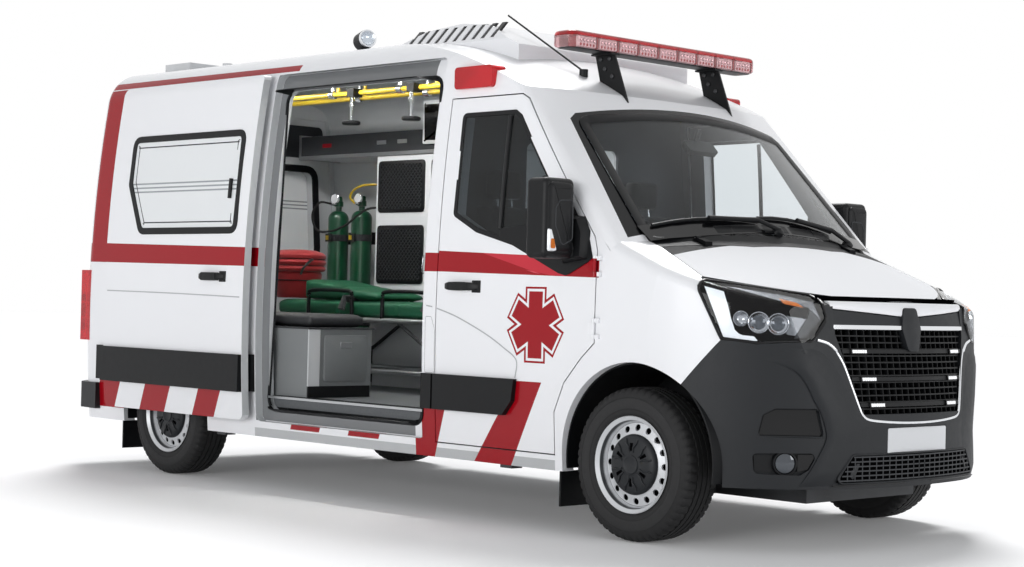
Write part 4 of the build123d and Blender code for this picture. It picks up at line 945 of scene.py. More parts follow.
# Door mirrors and window rubbers
PANES = {"front": [(-1.195, 1.985), (-1.195, 1.49), (-1.03, 1.41), (-0.335, 1.24), (-0.31, 1.3),
                   (-0.365, 1.4), (-0.79, 1.96), (-0.83, 1.985)],
         "side": [(-1.49, 1.968), (-2.575, 1.968), (-2.575, 1.7), (-2.43, 1.42), (-1.49, 1.42)],
         "rear": [(0.15, 1.33), (0.74, 1.33), (0.7, 1.9), (0.15, 1.9)]}
SLIDE_BACK = 1.405
for name, side in SIDES:
    body = f"front_door_{name}"
    skins = [f"front_door_{name}", f"front_door_glass_{name}"]
    trim = Piece(f"door_details_{name}", body)
    loop = rounded(PANES["front"], 0.02, 4)
    band(trim, loop, side_place(skins, side, 0.004), -0.014, 0.012, 0.007, black_plastic)
    trim.tube([on_side(-0.86, z, skins, side, 0.002) for z in (1.42, 1.6, 1.8, 1.965)], 0.011,
              black_plastic, 8)
    sail = rounded([(-0.86, 1.375), (-0.45, 1.205), (-0.4, 1.195), (-0.238, 1.272), (-0.245, 1.33),
                    (-0.279, 1.385), (-0.445, 1.6), (-0.54, 1.6), (-0.5, 1.45), (-0.86, 1.42)], 0.012, 3)
    patch(trim, [tuple(p) for p in sail], lambda x, z, out: on_side(x, z, skins, side, out), black_plastic,
          0.006, -0.012, 26, 5)
    foot = [(-0.42, 1.25), (-0.27, 1.27), (-0.262, 1.4), (-0.3, 1.47), (-0.4, 1.48)]
    trim.loft([[on_side(x, z, skins, side, 0.002) for x, z in foot],
               [(x * 0.9 - 0.034, side * 1.03, z * 0.95 + 0.068) for x, z in foot],
               [(x * 0.75 - 0.085, side * 1.05, z * 0.85 + 0.205) for x, z in foot]], black_plastic)
    face = sided(rounded(level(1.062, 1.222, 1.3, 1.62), 0.035, 6), side)
    trim.plate(face, "x", ((-0.334, 0.0), (-0.32, -0.002), (-0.312, -0.012), (-0.309, -0.03)),
               black_plastic)
    lens = sided(rounded([(1.172, 1.302), (1.2285, 1.302), (1.2285, 1.405), (1.21, 1.405)], 0.012, 4), side)
    trim.plate(lens, "x", ((-0.318, 0.0), (-0.3065, -0.004)), light_guide)
    lens = sided(rounded([(1.185, 1.315), (1.218, 1.315), (1.216, 1.36), (1.196, 1.36)], 0.008, 4), side)
    trim.prism(lens, "x", -0.31, -0.3055, amber_lens)
    shell = rounded([(1.075, 1.36), (1.14, 1.33), (1.185, 1.42), (1.185, 1.5), (1.16, 1.535),
                     (1.075, 1.54)], 0.02, 4)
    band(trim, shell, lambda p, out: Vector((-0.3095 + out, side * p[0], p[1])), -0.003, 0.004, 0.003,
         dark_grey)
    for low, high in ((1.42, 1.615), (1.295, 1.395)):
        glass = sided(rounded(level(1.062, 1.216, low, high), 0.022, 5), side)
        trim.plate(glass, "x", ((-0.455, 0.0), (-0.464, -0.003)), chrome)
    for x0, x1, z0, z1 in ((-0.31, -0.395, 1.285, 1.345), (-0.345, -0.42, 1.4, 1.455)):
        tip = level(x1 - 0.03, x1 + 0.045, z0, z1)
        root = level(x0 - 0.05, x0 + 0.035, z0 - 0.01, z1)
        trim.loft([[(x, side * y, z) for x, z in shape] for shape, y in ((tip, 1.075), (root, 0.99))],
                  black_plastic)
    dish = rounded(level(-1.135, -1.035, 1.1, 1.172), 0.034, 6)
    band(trim, dish, side_place([body], side, 0.003), -0.01, 0.002, 0.004, white_paint)
    trim.done(bevel=0.002)

for name, side, shift, skins in (("sliding", -1, SLIDE_BACK, ["sliding_door", "side_glass"]),
                                 ("left", 1, 0.0, ["side_left", "side_glass"])):
    window = Piece(f"side_window_{name}")
    loop = rounded([(x - shift, z) for x, z in PANES["side"]], 0.05, 5)
    band(window, loop, side_place(skins, side, 0.004), -0.022, 0.02, 0.009, black_plastic)
    band(window, grown(loop, -0.045), side_place(skins, side, 0.004), -0.012, 0.0, 0.005, dark_grey)
    catch = [on_side(-1.56 - shift, z, skins, side, 0.006) for z in (1.6, 1.63, 1.68, 1.71)]
    window.tube(catch, 0.012, black_plastic, 10)
    window.done()
for name, side in SIDES:
    rear = Piece(f"rear_window_{name}", f"rear_door_{name}")
    rear_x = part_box(f"rear_door_glass_{name}")[0].x - AXLE_X
    loop = rounded(sided(PANES["rear"], side), 0.06, 5)
    band(rear, loop, lambda p, out: Vector((rear_x - out + 0.004, p[0], p[1])), -0.022, 0.02, 0.009,
         black_plastic)
    rear.done()


# Treatment space
inside_fit = Piece("cabinet_details")
for x0, x1, z0, z1 in ((-3.5, -3.06, 1.6, 1.925), (-3.5, -3.06, 1.154, 1.52), (-3.0, -2.56, 1.6, 1.925),
                       (-3.0, -2.56, 1.154, 1.52)):
    door = rounded(level(x0, x1, z0, z1), 0.03, 5)
    inside_fit.plate(door, "y", ((0.452, 0.0), (0.444, 0.0), (0.442, -0.003)), black_plastic)
    inside_fit.prism(grown(door, -0.022), "y", 0.444, 0.4405, quilted_net)
inside_fit.box((-4.325, 0.4665, 1.985), (-2.36, 0.482, 2.113), dark_grey)
inside_fit.box((-4.328, 0.455, 1.962), (-2.352, 0.486, 1.985), aluminium)
inside_fit.box((-4.34, 0.458, 1.962), (-4.325, 0.8, 2.125), aluminium)
monitor = rounded(level(-3.09, -2.6, 2.02, 2.285), 0.012, 3)
inside_fit.prism(monitor, "y", 0.5, 0.446, cabinet_white)
inside_fit.prism(grown(monitor, -0.022), "y", 0.448, 0.443, gloss_black)
for x0 in (-4.1, -3.55, -3.35):
    tag = rounded(level(x0, x0 + 0.09, 2.035, 2.06), 0.004, 2)
    inside_fit.prism(tag, "y", 0.467, 0.4645, aluminium if x0 > -4 else red_film)
for x in (-3.045, -3.015):
    inside_fit.tube([(x, 0.444, 1.22), (x, 0.43, 1.23), (x, 0.43, 1.32), (x, 0.444, 1.33)], 0.005, chrome,
                    8)
inside_fit.done(bevel=0.0015)

DIAL_AIM = (0.2, -1, 0.1)
gas = Piece("bottle_fittings")
for x in (-3.892, -4.132):
    for z in (1.45, 0.9):
        gas.lathe([(z - 0.022, 0.0695), (z - 0.02, 0.0715), (z + 0.02, 0.0715), (z + 0.022, 0.0695)],
                  (x, 0.64, 0), UP, seat_cloth, 32)
        gas.box((x - 0.03, 0.556, z - 0.026), (x + 0.03, 0.5695, z + 0.026), steel)
        gas.box((x - 0.02, 0.55, z - 0.014), (x + 0.004, 0.557, z + 0.014), rail_yellow)
    gas.lathe([(1.655, 0.021), (1.66, 0.03), (1.69, 0.03), (1.695, 0.024), (1.72, 0.024), (1.725, 0.018),
               (1.725, TIP)], (x, 0.64, 0), UP, bottle_green, 24)
    gas.tube([(x, 0.62, 1.675), (x + 0.01, 0.57, 1.675)], 0.013, chrome, 12)
    dial = (x + 0.045, 0.575, 1.705)
    gas.lathe([(0.0, 0.034), (0.012, 0.035), (0.014, 0.031), (0.012, 0.03), (0.012, TIP)], dial, DIAL_AIM,
              chrome, 24)
    gas.lathe([(0.0125, 0.0295), (0.0135, TIP)], dial, DIAL_AIM, cabinet_white, 24)
    gas.tube([(x + 0.01, 0.575, 1.675), (x + 0.045, 0.575, 1.69)], 0.008, chrome, 10)
gas.box((-4.26, 0.715, 1.41), (-3.76, 0.745, 1.49), black_plastic)
gas.done()


HOSES = [("oxygen_hose_black", rubber, [(-4.122, 0.57, 1.675), (-4.2, 0.53, 1.68), (-4.26, 0.52, 1.6),
                                        (-4.2, 0.515, 1.5), (-4.05, 0.51, 1.49), (-3.9, 0.515, 1.53),
                                        (-3.8, 0.54, 1.6), (-3.76, 0.6, 1.64), (-3.758, 0.735, 1.65),
                                        (-3.758, 0.915, 1.65)]),
         ("oxygen_hose_yellow", rail_yellow, [(-3.882, 0.57, 1.675), (-3.9, 0.545, 1.71),
                                              (-3.86, 0.54, 1.755), (-3.78, 0.55, 1.785),
                                              (-3.66, 0.58, 1.79), (-3.56, 0.66, 1.79),
                                              (-3.525, 0.8, 1.79)])]
for name, finish, points in HOSES:
    hose = Piece(name)
    hose.tube(bent(points), 0.0075, finish, 10)
    hose.done()

BAG_FOOT = (-3.86, 0.1, 1.03)
bag = Piece("round_bag")
RIDGES = [(0.0, 0.12), (0.02, 0.135), (0.12, 0.15), (0.13, 0.153), (0.15, 0.155), (0.165, 0.145),
          (0.17, 0.17), (0.185, 0.178), (0.2, 0.17), (0.203, 0.16), (0.208, 0.172), (0.225, 0.18),
          (0.24, 0.172), (0.243, 0.163), (0.25, 0.176), (0.268, 0.178), (0.285, 0.16), (0.3, 0.11),
          (0.305, 0.05), (0.306, TIP)]
bag.lathe([(z + 0.02, radius) for z, radius in RIDGES], BAG_FOOT, UP, red_cloth, 40)
for z, radius in ((0.226, 0.163), (0.266, 0.167), (0.13, 0.152)):
    bag.lathe([(z - 0.004, radius), (z, radius + 0.006), (z + 0.004, radius)], BAG_FOOT, UP, black_plastic,
              40)
bag.tube(bent([(-3.71, 0.01, 1.2), (-3.67, 0.0, 1.24), (-3.68, 0.07, 1.29), (-3.73, 0.11, 1.27)]), 0.008,
         seat_cloth, 8)
bag.done()

COT_SIDES = (-0.05, 0.43)
cot = Piece("stretcher_details")
for y in COT_SIDES:
    for x0 in (-3.55, -2.85):
        hoop = [(x0, y, 0.932), (x0 + 0.005, y, 1.06), (x0 + 0.04, y, 1.1), (x0 + 0.38, y, 1.1),
                (x0 + 0.415, y, 1.06), (x0 + 0.42, y, 0.932)]
        cot.tube(bent(hoop, 5), 0.012, black_plastic, 10)
for x in (-3.2, -2.45):
    cot.tube([(x, -0.075, 0.99), (x, -0.05, 1.054), (x, 0.19, 1.06), (x, 0.43, 1.054), (x, 0.455, 0.99)],
             0.022, seat_cloth, 8)
    cot.box((x - 0.03, 0.1, 1.066), (x + 0.03, 0.2, 1.086), steel)
for x in (-3.7, -2.2):
    for y in COT_SIDES:
        cot.lathe([(-0.03, TIP), (-0.03, 0.066), (-0.024, 0.0705), (0.024, 0.0705), (0.03, 0.066),
                   (0.03, TIP)], (x, y, 0.581), (0, 1, 0), rubber, 28)
        cot.lathe([(-0.033, TIP), (-0.033, 0.03), (-0.03, 0.04), (0.03, 0.04), (0.033, 0.03), (0.033, TIP)],
                  (x, y, 0.581), (0, 1, 0), wheel_silver, 20)
        cot.tube([(x, y, 0.62), (x, y, 0.7)], 0.024, black_plastic, 12)
    for y in COT_SIDES:
        cot.tube([(x + 0.02, y, 0.64), (x + 0.5 * (1 if x < -3 else -1), y, 0.92)], 0.011, steel, 8)
cot.box((-2.3, -0.06, 0.86), (-1.99, 0.44, 0.915), black_plastic)
cot.tube([(-2.0, -0.02, 0.8), (-1.965, -0.02, 0.79), (-1.96, 0.19, 0.79), (-1.965, 0.4, 0.79),
          (-2.0, 0.4, 0.8)], 0.013, black_plastic, 10)
cot.done()

bench = Piece("bench_details")
hatch = rounded(level(-0.8, -0.5, 0.6, 0.855), 0.02, 4)
bench.plate(hatch, "x", ((-2.452, 0.0), (-2.442, 0.0), (-2.44, -0.004)), box_grey)
bench.box((-2.444, -0.69, 0.785), (-2.437, -0.61, 0.815), aluminium)
bench.box((-4.3, -0.915, 0.886), (-2.437, -0.445, 0.8955), dark_grey)
bench.box((-2.452, -0.905, 0.512), (-2.444, -0.47, 0.575), black_plastic)
bench.prism(level(-0.91, -0.83, 0.575, 0.885), "x", -2.45, -2.441, lining_grey)
bench.box((-4.29, -0.46, 0.512), (-2.46, -0.452, 0.575), black_plastic)
for x in (-3.85, -3.25):
    lid = rounded(level(x, x + 0.52, 0.61, 0.865), 0.02, 4)
    bench.plate(lid, "y", ((-0.458, 0.0), (-0.45, 0.0), (-0.448, -0.004)), box_grey)
bench.done(bevel=0.0015)

ceiling = Piece("ceiling_fittings")
for y in (-0.06, 0.15):
    for x in (-4.1, -3.35, -2.72, -1.9):
        ceiling.lathe([(-0.022, 0.0225), (-0.02, 0.026), (0.02, 0.026), (0.022, 0.0225)], (x, y, 2.29),
                      (1, 0, 0), chrome, 20)
        ceiling.tube([(x, y, 2.31), (x, y, 2.375)], 0.012, chrome, 10)
for x in (-3.12, -2.575):
    ceiling.tube([(x, -0.1, 2.27), (x, -0.1, 2.12)], 0.011, chrome, 12)
    ceiling.lathe([(2.095, TIP), (2.095, 0.05), (2.1, 0.056), (2.112, 0.056), (2.118, 0.05), (2.118, TIP)],
                  (x, -0.1, 0), UP, black_plastic, 24)
    ceiling.lathe([(2.2, 0.012), (2.202, 0.017), (2.222, 0.017), (2.224, 0.012)], (x, -0.1, 0), UP, chrome,
                  16)
    ceiling.box((x - 0.03, -0.115, 2.262), (x + 0.03, -0.045, 2.312), black_plastic)
for x in (-3.95, -3.3, -2.65, -2.0):
    light = rounded(level(x, x + 0.34, -0.36, -0.24), 0.03, 4)
    top = cast(["roof"], (x + 0.17, -0.3, 2.2), UP)
    height = (top.z if top else 2.38) - 0.004
    ceiling.plate(light, "z", ((height, 0.0), (height - 0.012, -0.003)), ceiling_light)
ceiling.done()

doorway = Piece("doorway_trim")
OPENING = rounded([(-1.455, 0.445), (-1.455, 2.19), (-2.71, 2.19), (-2.71, 0.445)], 0.06, 6)
band(doorway, OPENING, side_place(["side_right"], -1, 0.002), 0.0, 0.022, 0.008, black_plastic)
doorway.box((-2.72, -0.965, 0.5), (-1.44, -0.87, 0.5125), aluminium)
for row in range(4):
    doorway.box((-2.7, -0.95 + row * 0.02, 0.5125), (-1.46, -0.942 + row * 0.02, 0.5145), black_plastic)
doorway.done()

# Cushions
PADS = []
PAD_VOXEL, PAD_PRESSURE, SEAM_WIDTH = 0.013, 4.0, 0.012
SEATS = (("driver", 0.47, 0.48), ("passenger", -0.38, 0.82))
DOUBLE_SEAT = 0.6


def heads(y, width):
    """Places across of a seat's head rests."""
    return (y,) if width < DOUBLE_SEAT else (y - 0.2, y + 0.2)


def pad(name, outline, y0, y1, finish, swell, seams=(), floor=None, replaces=()):
    """Stuffed cushion: a smaller block remeshed here and swollen with the others by cloth pressure."""
    shape = Piece(name)
    shape.prism(grown([Vector(p) for p in outline], -swell), "y", y0 + swell, y1 - swell, finish)
    made = shape.done(bevel=0.018, replaces=replaces)
    graph = bpy.context.evaluated_depsgraph_get()
    made.data = bpy.data.meshes.new_from_object(made.evaluated_get(graph))
    made.modifiers.clear()
    remesh = made.modifiers.new("even", "REMESH")
    remesh.mode = "VOXEL"
    remesh.voxel_size = PAD_VOXEL
    graph = bpy.context.evaluated_depsgraph_get()
    made.data = bpy.data.meshes.new_from_object(made.evaluated_get(graph))
    made.modifiers.clear()
    made.data.materials.clear()
    made.data.materials.append(finish)
    for face in made.data.polygons:
        face.use_smooth = True
    PADS.append((made, swell, seams, floor))


def swell_pads(frames=14):
    """Run the cloth once for all cushions, cap the travel, keep the resting face flat and sew the seams."""
    for made, _, _, _ in PADS:
        cloth = made.modifiers.new("cloth", "CLOTH")
        cloth.settings.use_pressure = True
        cloth.settings.uniform_pressure_force = PAD_PRESSURE
        cloth.settings.quality = 4
        cloth.settings.effector_weights.gravity = 0.0
    for step in range(1, frames + 1):
        bpy.context.scene.frame_set(step)
    graph = bpy.context.evaluated_depsgraph_get()
    for made, swell, seams, floor in PADS:
        moved = [v.co.copy() for v in made.evaluated_get(graph).data.vertices]
        for vertex, place in zip(made.data.vertices, moved):
            way = place - vertex.co
            if way.length > swell:
                way *= swell / way.length
            vertex.co += way
        made.modifiers.clear()
        normals = [v.normal.copy() for v in made.data.vertices]
        for vertex, normal in zip(made.data.vertices, normals):
            for axis, value, depth in seams:
                away = (vertex.co[axis] - value - (AXLE_X if axis == 0 else 0)) / SEAM_WIDTH
                vertex.co -= normal * depth * math.exp(-away * away)
            if floor is not None:
                vertex.co.z = max(vertex.co.z, floor)
        made.data.update()
    bpy.context.scene.frame_set(1)


pad("stretcher_pad", level(-3.9, -2.0, 0.944, 1.044), -0.045, 0.425, vinyl_green, 0.012,
    [(0, -3.3, 0.008), (0, -2.75, 0.008)], 0.945, ("stretcher_mattress",))
pad("stretcher_backrest", [(-3.66, 1.047), (-2.95, 1.047), (-2.95, 1.09), (-3.66, 1.175)], -0.02, 0.4,
    vinyl_green, 0.012, [(0, -3.3, 0.006)], 1.047)
pad("bench_pad", level(-4.25, -2.47, 0.8955, 0.97), -0.89, -0.47, seat_vinyl, 0.011,
    [(0, -3.65, 0.007), (0, -3.05, 0.007)], 0.8955, ("seats",))
for seat, y, width in SEATS:
    y0, y1 = y - width / 2, y + width / 2
    rows = [(1, y0 + 0.085, 0.008), (1, y1 - 0.085, 0.008)]
    if width > DOUBLE_SEAT:
        rows.append((1, y, 0.012))
    pad(f"{seat}_cushion", level(-1.24, -0.74, 0.892, 1.01), y0, y1, seat_cloth, 0.014,
        rows + [(0, -0.9, 0.006)], 0.892)
    pad(f"{seat}_back", [(-1.24, 1.0), (-1.125, 1.012), (-1.215, 1.565), (-1.318, 1.565)], y0, y1,
        seat_cloth, 0.014, rows + [(2, 1.42, 0.006)])
    for head_y in heads(y, width):
        place = "left" if head_y > y else "right" if head_y < y else "middle"
        pad(f"{seat}_head_{place}", level(-1.33, -1.24, 1.585, 1.74),
            head_y - 0.12, head_y + 0.12, seat_cloth, 0.012)
swell_pads()

bases = Piece("seat_bases")
for _, y, width in SEATS:
    bases.prism([(-1.23, 0.64), (-0.84, 0.64), (-0.8, 0.7), (-0.8, 0.892), (-1.23, 0.892)], "y",
                y - width / 2 + 0.04, y + width / 2 - 0.04, dark_grey)
    for head_y in heads(y, width):
        for stem in (-0.05, 0.05):
            bases.tube([(-1.268, head_y + stem, 1.54), (-1.284, head_y + stem, 1.62)], 0.006, chrome, 8)
    bases.box((-1.2, y + width / 2 - 0.03, 0.9), (-1.12, y + width / 2 - 0.005, 1.06), black_plastic)
bases.done(bevel=0.01)


# Windscreen edge, wipers and inner mirror
def on_screen(u, v, out=0.0):
    """Point on the windscreen from a distance across and one up its slope."""
    for share in (0.0, 0.03, 0.06, 0.1, 0.15, 0.2, 0.3):
        a, b = u * (1 - share), v + (0.5 - v) * share
        base = Vector((SCREEN_BASE, a, SCREEN_BASE_Z)) + screen_up * b
        hit = cast(["windscreen"], base + screen_out * 1.2, -screen_out)
        if hit:
            break
    depth = (hit - base).dot(screen_out) if hit else 0.0
    return Vector((SCREEN_BASE, u, SCREEN_BASE_Z)) + screen_up * v + screen_out * (depth + out)


def dense(loop, gap=0.05):
    """Closed outline with points no further apart than a gap."""
    result = []
    for p, q in around(loop):
        p, q = Vector(p), Vector(q)
        count = max(1, math.ceil((q - p).length / gap))
        result += [p + (q - p) * step / count for step in range(count)]
    return result


screen = Piece("windscreen_details")
loop = dense(rounded([(-0.85, 0.1), (0.85, 0.1), (0.77, 0.915), (-0.77, 0.915)], 0.07, 6))
band(screen, loop, lambda p, out: on_screen(p[0], p[1], out), -0.05, 0.004, 0.002, black_plastic)
screen.loft([bar_cut(on_screen, (u, 0.09), (u, 0.2), 0.0, 0.002) for u in spaced(-0.85, 0.85, 16)],
            gloss_black)
for pivot, reach in ((-0.12, -0.66), (0.5, -0.6)):
    blade = [on_screen(pivot + reach * share, 0.155 + 0.035 * math.sin(share * 2.2), 0.014) for share in
             (0.0, 0.2, 0.4, 0.6, 0.8, 1.0)]
    screen.tube(blade, 0.008, black_plastic, 8)
    screen.tube([on_screen(pivot + 0.12, 0.1, 0.02), on_screen(pivot - 0.02, 0.15, 0.034),
                 on_screen(pivot + reach * 0.5, 0.178, 0.028)], 0.011, black_plastic, 8)
    screen.lathe([(0.0, 0.03), (0.02, 0.026), (0.026, 0.014), (0.026, TIP)],
                 on_screen(pivot + 0.12, 0.1, 0.0), screen_out, black_plastic, 20)
mirror = rounded(level(-0.11, 0.11, 0.72, 0.8), 0.02, 4)
screen.tile(mirror, on_screen, (-0.09, -0.06), black_plastic)
screen.tube([on_screen(0, 0.8, -0.075), on_screen(0, 0.83, -0.012)], 0.012, black_plastic, 8)
screen.done()

# Rear doors, tail lamps and step
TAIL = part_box("rear_bumper")[0].x - AXLE_X
for name, side in SIDES:
    fit = Piece(f"rear_door_details_{name}", f"rear_door_{name}")
    face = cast([f"rear_door_{name}"], (-6, side * 0.4, 1.1), (1, 0, 0)).x
    if side < 0:
        grip = rounded(level(-0.17, -0.05, 1.08, 1.15), 0.02, 4)
        fit.plate(grip, "x", ((face + 0.004, 0.0), (face - 0.006, -0.002)), black_plastic)
        fit.tube([(face - 0.004, -0.155, 1.115), (face - 0.024, -0.14, 1.115), (face - 0.026, -0.08, 1.115),
                  (face - 0.004, -0.065, 1.115)], 0.01, black_plastic, 10)
    if side > 0:
        for x, size, finish in ((-0.006, 0.012, black_plastic), (-0.009, 0.0, cabinet_white)):
            edge_line = rounded(level(0.14, 0.6, 0.83, 0.95), 0.008, 3)
            fit.prism(grown(edge_line, size), "x", face + 0.004, face + x, finish)
        fit.prism([(face + 0.004, 0.985), (face - 0.03, 0.985), (face - 0.022, 1.015),
                   (face + 0.004, 1.02)], "y", 0.24, 0.5, black_plastic)
        fit.box((face - 0.027, 0.3, 0.9815), (face - 0.012, 0.44, 0.986), lamp_white)
    swage = rounded(sided(level(0.07, 0.84, 0.6, 1.24), side), 0.05, 5)
    band(fit, swage, lambda p, out: Vector((face - out + 0.003, p[0], p[1])), -0.008, 0.0, 0.005,
         white_paint)
    fit.done(bevel=0.0015)
tails = Piece("tail_details")
tail_x = cast(["red_lamps"], (-6, 0.985, 0.9), (1, 0, 0)).x
for z0, z1, finish in ((0.905, 0.985, amber_lens), (0.825, 0.895, light_guide), (1.0, 1.04, red_film)):
    bar_line = rounded(level(0.957, 1.011, z0, z1), 0.012, 4)
    tails.plate(bar_line, "x", ((tail_x + 0.004, 0.0), (tail_x - 0.0012, -0.003)), finish)
tails.done(both_sides=True)
step_piece = Piece("rear_step_tread")
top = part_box("rear_bumper")[1].z
for row in range(5):
    x = TAIL + 0.025 + row * 0.02
    step_piece.box((x, -0.62, top - 0.002), (x + 0.009, 0.62, top + 0.003), black_plastic)
for y in (-0.72, 0.72):
    tag = rounded(level(y - 0.06, y + 0.06, top - 0.11, top - 0.07), 0.01, 3)
    step_piece.prism(tag, "x", TAIL + 0.01, TAIL, red_lens)
step_piece.done(bevel=0.001)
top_lamp = Piece("high_stop_lamp")
back = cast(["roof"], (-6, 0, 2.33), (1, 0, 0))
if back:
    line = rounded(level(-0.2, 0.2, 2.315, 2.345), 0.01, 3)
    top_lamp.prism(line, "x", back.x + 0.012, back.x - 0.008, red_lens)
    top_lamp.done(bevel=0.002)


# Bumper relief
def corner_face(s, z, out):
    """Point on the bumper's right corner, from a distance along the diagonal plane and a height."""
    return corner_point("front_bumper", s, z, out, (0.15, 0.65),
                        (0.0, 0.03, 0.06, 0.1, 0.15, 0.2, 0.3, 0.5))


BLADE = [(-0.147, 0.842, -0.03, 0.908), (-0.072, 0.828, 0.05, 0.912), (0.004, 0.792, 0.12, 0.9),
         (0.052, 0.735, 0.185, 0.85), (0.086, 0.669, 0.228, 0.785), (0.116, 0.619, 0.262, 0.715),
         (0.139, 0.552, 0.298, 0.63), (0.144, 0.503, 0.335, 0.555), (0.118, 0.444, 0.33, 0.48),
         (0.08, 0.375, 0.31, 0.41), (0.045, 0.325, 0.28, 0.34), (0.02, 0.296, 0.25, 0.3)]
relief = Piece("bumper_relief")
curve = bent([(a, b, 0) for a, b, _, _ in BLADE], 4)
ends = bent([(c, d, 0) for _, _, c, d in BLADE], 4)
rings = []
for index, (p, q) in enumerate(zip(curve, ends)):
    fade = min(1.0, index / 8, (len(curve) - 1 - index) / 6)
    ring = []
    for share, out in ((0.0, -0.012), (0.0, 0.006), (0.05, 0.011), (0.25, 0.012), (0.5, 0.008),
                       (0.8, 0.002), (1.0, -0.003)):
        at = p.lerp(q, share)
        ring.append(corner_face(at.x, at.y, out if out < 0 else out * fade))
    rings.append(ring)
relief.loft(rings, bumper_grey, closed=False)
ARCH_LIP = ((0.43, -0.01), (0.43, 0.004), (0.438, 0.007), (0.472, 0.006), (0.482, -0.004))
ARCH = [math.radians(-8 + 4.5 * step) for step in range(16)]
rings = []
for angle in ARCH:
    hits = [cast(["front_bumper"], (radius * math.cos(angle), -2, WHEEL_Z + radius * math.sin(angle)),
                 (0, 1, 0)) for radius, _ in ARCH_LIP]
    if all(hits):
        rings.append([hit - Vector((0, out, 0)) for hit, (_, out) in zip(hits, ARCH_LIP)])
if len(rings) > 1:
    relief.loft(rings, bumper_grey, closed=False)
relief.done(both_sides=True)


NOSE_LIMIT = 0.871


def near_nose(y, z, out):
    """Point on the bowed front face, held back at the middle."""
    place = on_nose(y, z, out)
    place.x = min(place.x, NOSE_LIMIT)
    return place


INTAKE_HALF, INTAKE_FOOT, INTAKE_TAPER = 0.53, 0.315, 0.783
INTAKE = [(-INTAKE_HALF, INTAKE_FOOT), (INTAKE_HALF, INTAKE_FOOT), (0.44, 0.43), (-0.44, 0.43)]
intake = Piece("lower_intake")
# Flat black plate behind the bars stands in for the shade in the intake opening: painted shade.
patch(intake, INTAKE, near_nose, painted_void_shade, 0.0006, -0.004, 24, 3)
for row in range(6):
    z = 0.322 + 0.0205 * row
    half = INTAKE_HALF - (z - INTAKE_FOOT) * INTAKE_TAPER - 0.006
    intake.loft([bar_cut(near_nose, (y, z - 0.003), (y, z + 0.003), -0.003, 0.003)
                 for y in spaced(-half, half, 20)], dark_grey)
for column in range(25):
    y = -0.516 + 0.043 * column
    top = min(0.428, INTAKE_FOOT + (INTAKE_HALF - abs(y)) / INTAKE_TAPER)
    if top > 0.33:
        intake.loft([bar_cut(near_nose, (y - 0.0025, z), (y + 0.0025, z), -0.003, 0.0025)
                     for z in (0.318, top)], dark_grey)
loop = dense(rounded(INTAKE, 0.02, 4))
band(intake, loop, lambda p, out: near_nose(*p, out - 0.002), 0.0, 0.01, 0.006, bumper_grey)
for side in (-1, 1):
    rails = [side * (0.1 + 0.05 * step) for step in range(10)]
    intake.loft([bar_cut(near_nose, (y, 0.299), (y, 0.304), -0.004, 0.001) for y in rails], gloss_black)
intake.done()


# Handles, painted shade lines along body creases, fuel flap, painted shade blocks in the roof slots, door
# linings and cab fittings
def handle(piece, x, z, skins, side):
    """Pull handle on a body side."""
    rings = []
    for step in range(-6, 7):
        share = step / 6
        out = 0.004 + 0.027 * (1 - share**4)
        tall = 0.023 - 0.006 * share * share
        rings.append([on_side(x + share * 0.122, z + dz, skins, side, reach) for dz, reach in
                      ((-tall, out - 0.012), (-tall * 0.7, out), (tall * 0.7, out), (tall, out - 0.012))])
    piece.loft(rings, black_plastic)
    piece.tile(level(x + 0.075, x + 0.135, z - 0.03, z + 0.03),
               lambda a, b, out: on_side(a, b, skins, side, out), (-0.004, 0.005), black_plastic)


def crease_shade_line(piece, points, skins, side, width=0.0032):
    """Thin grey strip along a smooth path on a body side: painted shade standing in for the shadow in a
    body crease.
    """
    path = bent([(x, z, 0) for x, z in points], 6)
    rings = []
    for index, point in enumerate(path):
        way = path[min(index + 1, len(path) - 1)] - path[max(index - 1, 0)]
        way.normalize()
        rings.append([on_side(point.x - way.y * reach, point.y + way.x * reach, skins, side, 0.0008)
                      for reach in (-width, width)])
    piece.loft(rings, crease_painted_shade, closed=False)


# Path of the painted shade line along the front door's arch crease.
ARCH_LINE = [(-1.292, 1.0245), (-1.274, 1.02), (-1.157, 0.99), (-1.023, 0.943), (-0.902, 0.894),
             (-0.799, 0.842), (-0.736, 0.807), (-0.715, 0.773), (-0.727, 0.705)]
for name, side in SIDES:
    pull = Piece(f"door_pull_{name}", f"front_door_{name}")
    handle(pull, -1.115, 1.136, [f"front_door_{name}"], side)
    crease_shade_line(pull, ARCH_LINE, [f"front_door_{name}"], side)
    pull.done(bevel=0.003)
pull = Piece("sliding_door_pull")
handle(pull, -3.09, 1.163, ["sliding_door"], -1)
pull.done(bevel=0.003)

# Painted shade lines along the creases of the sliding door and the body sides.
crease_shade_lines = Piece("side_crease_shade_lines")
low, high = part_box("sliding_door")
first, last = low.x - AXLE_X + 0.03, high.x - AXLE_X - 0.03
crease_shade_line(crease_shade_lines, [(first, 1.068), ((first + last) / 2, 1.062), (last, 1.051)], ["sliding_door"], -1)
crease_shade_line(crease_shade_lines, [(-1.43, 1.043), (-1.38, 1.038), (-1.325, 1.031)], ["side_right"], -1)
crease_shade_line(crease_shade_lines, [(-4.3, 1.07), (-2.8, 1.058), (-1.33, 1.032)], ["side_left"], 1)
crease_shade_lines.done()

flap = Piece("fuel_flap")
loop = dense(rounded([(-1.378, 0.70), (-1.302, 0.70), (-1.302, 0.92), (-1.33, 0.985), (-1.378, 0.985)],
                     0.012, 3), 0.04)
band(flap, loop, side_place(["side_right"], -1, 0.002), -0.006, 0.0, 0.0028, dark_grey)
flap.done()

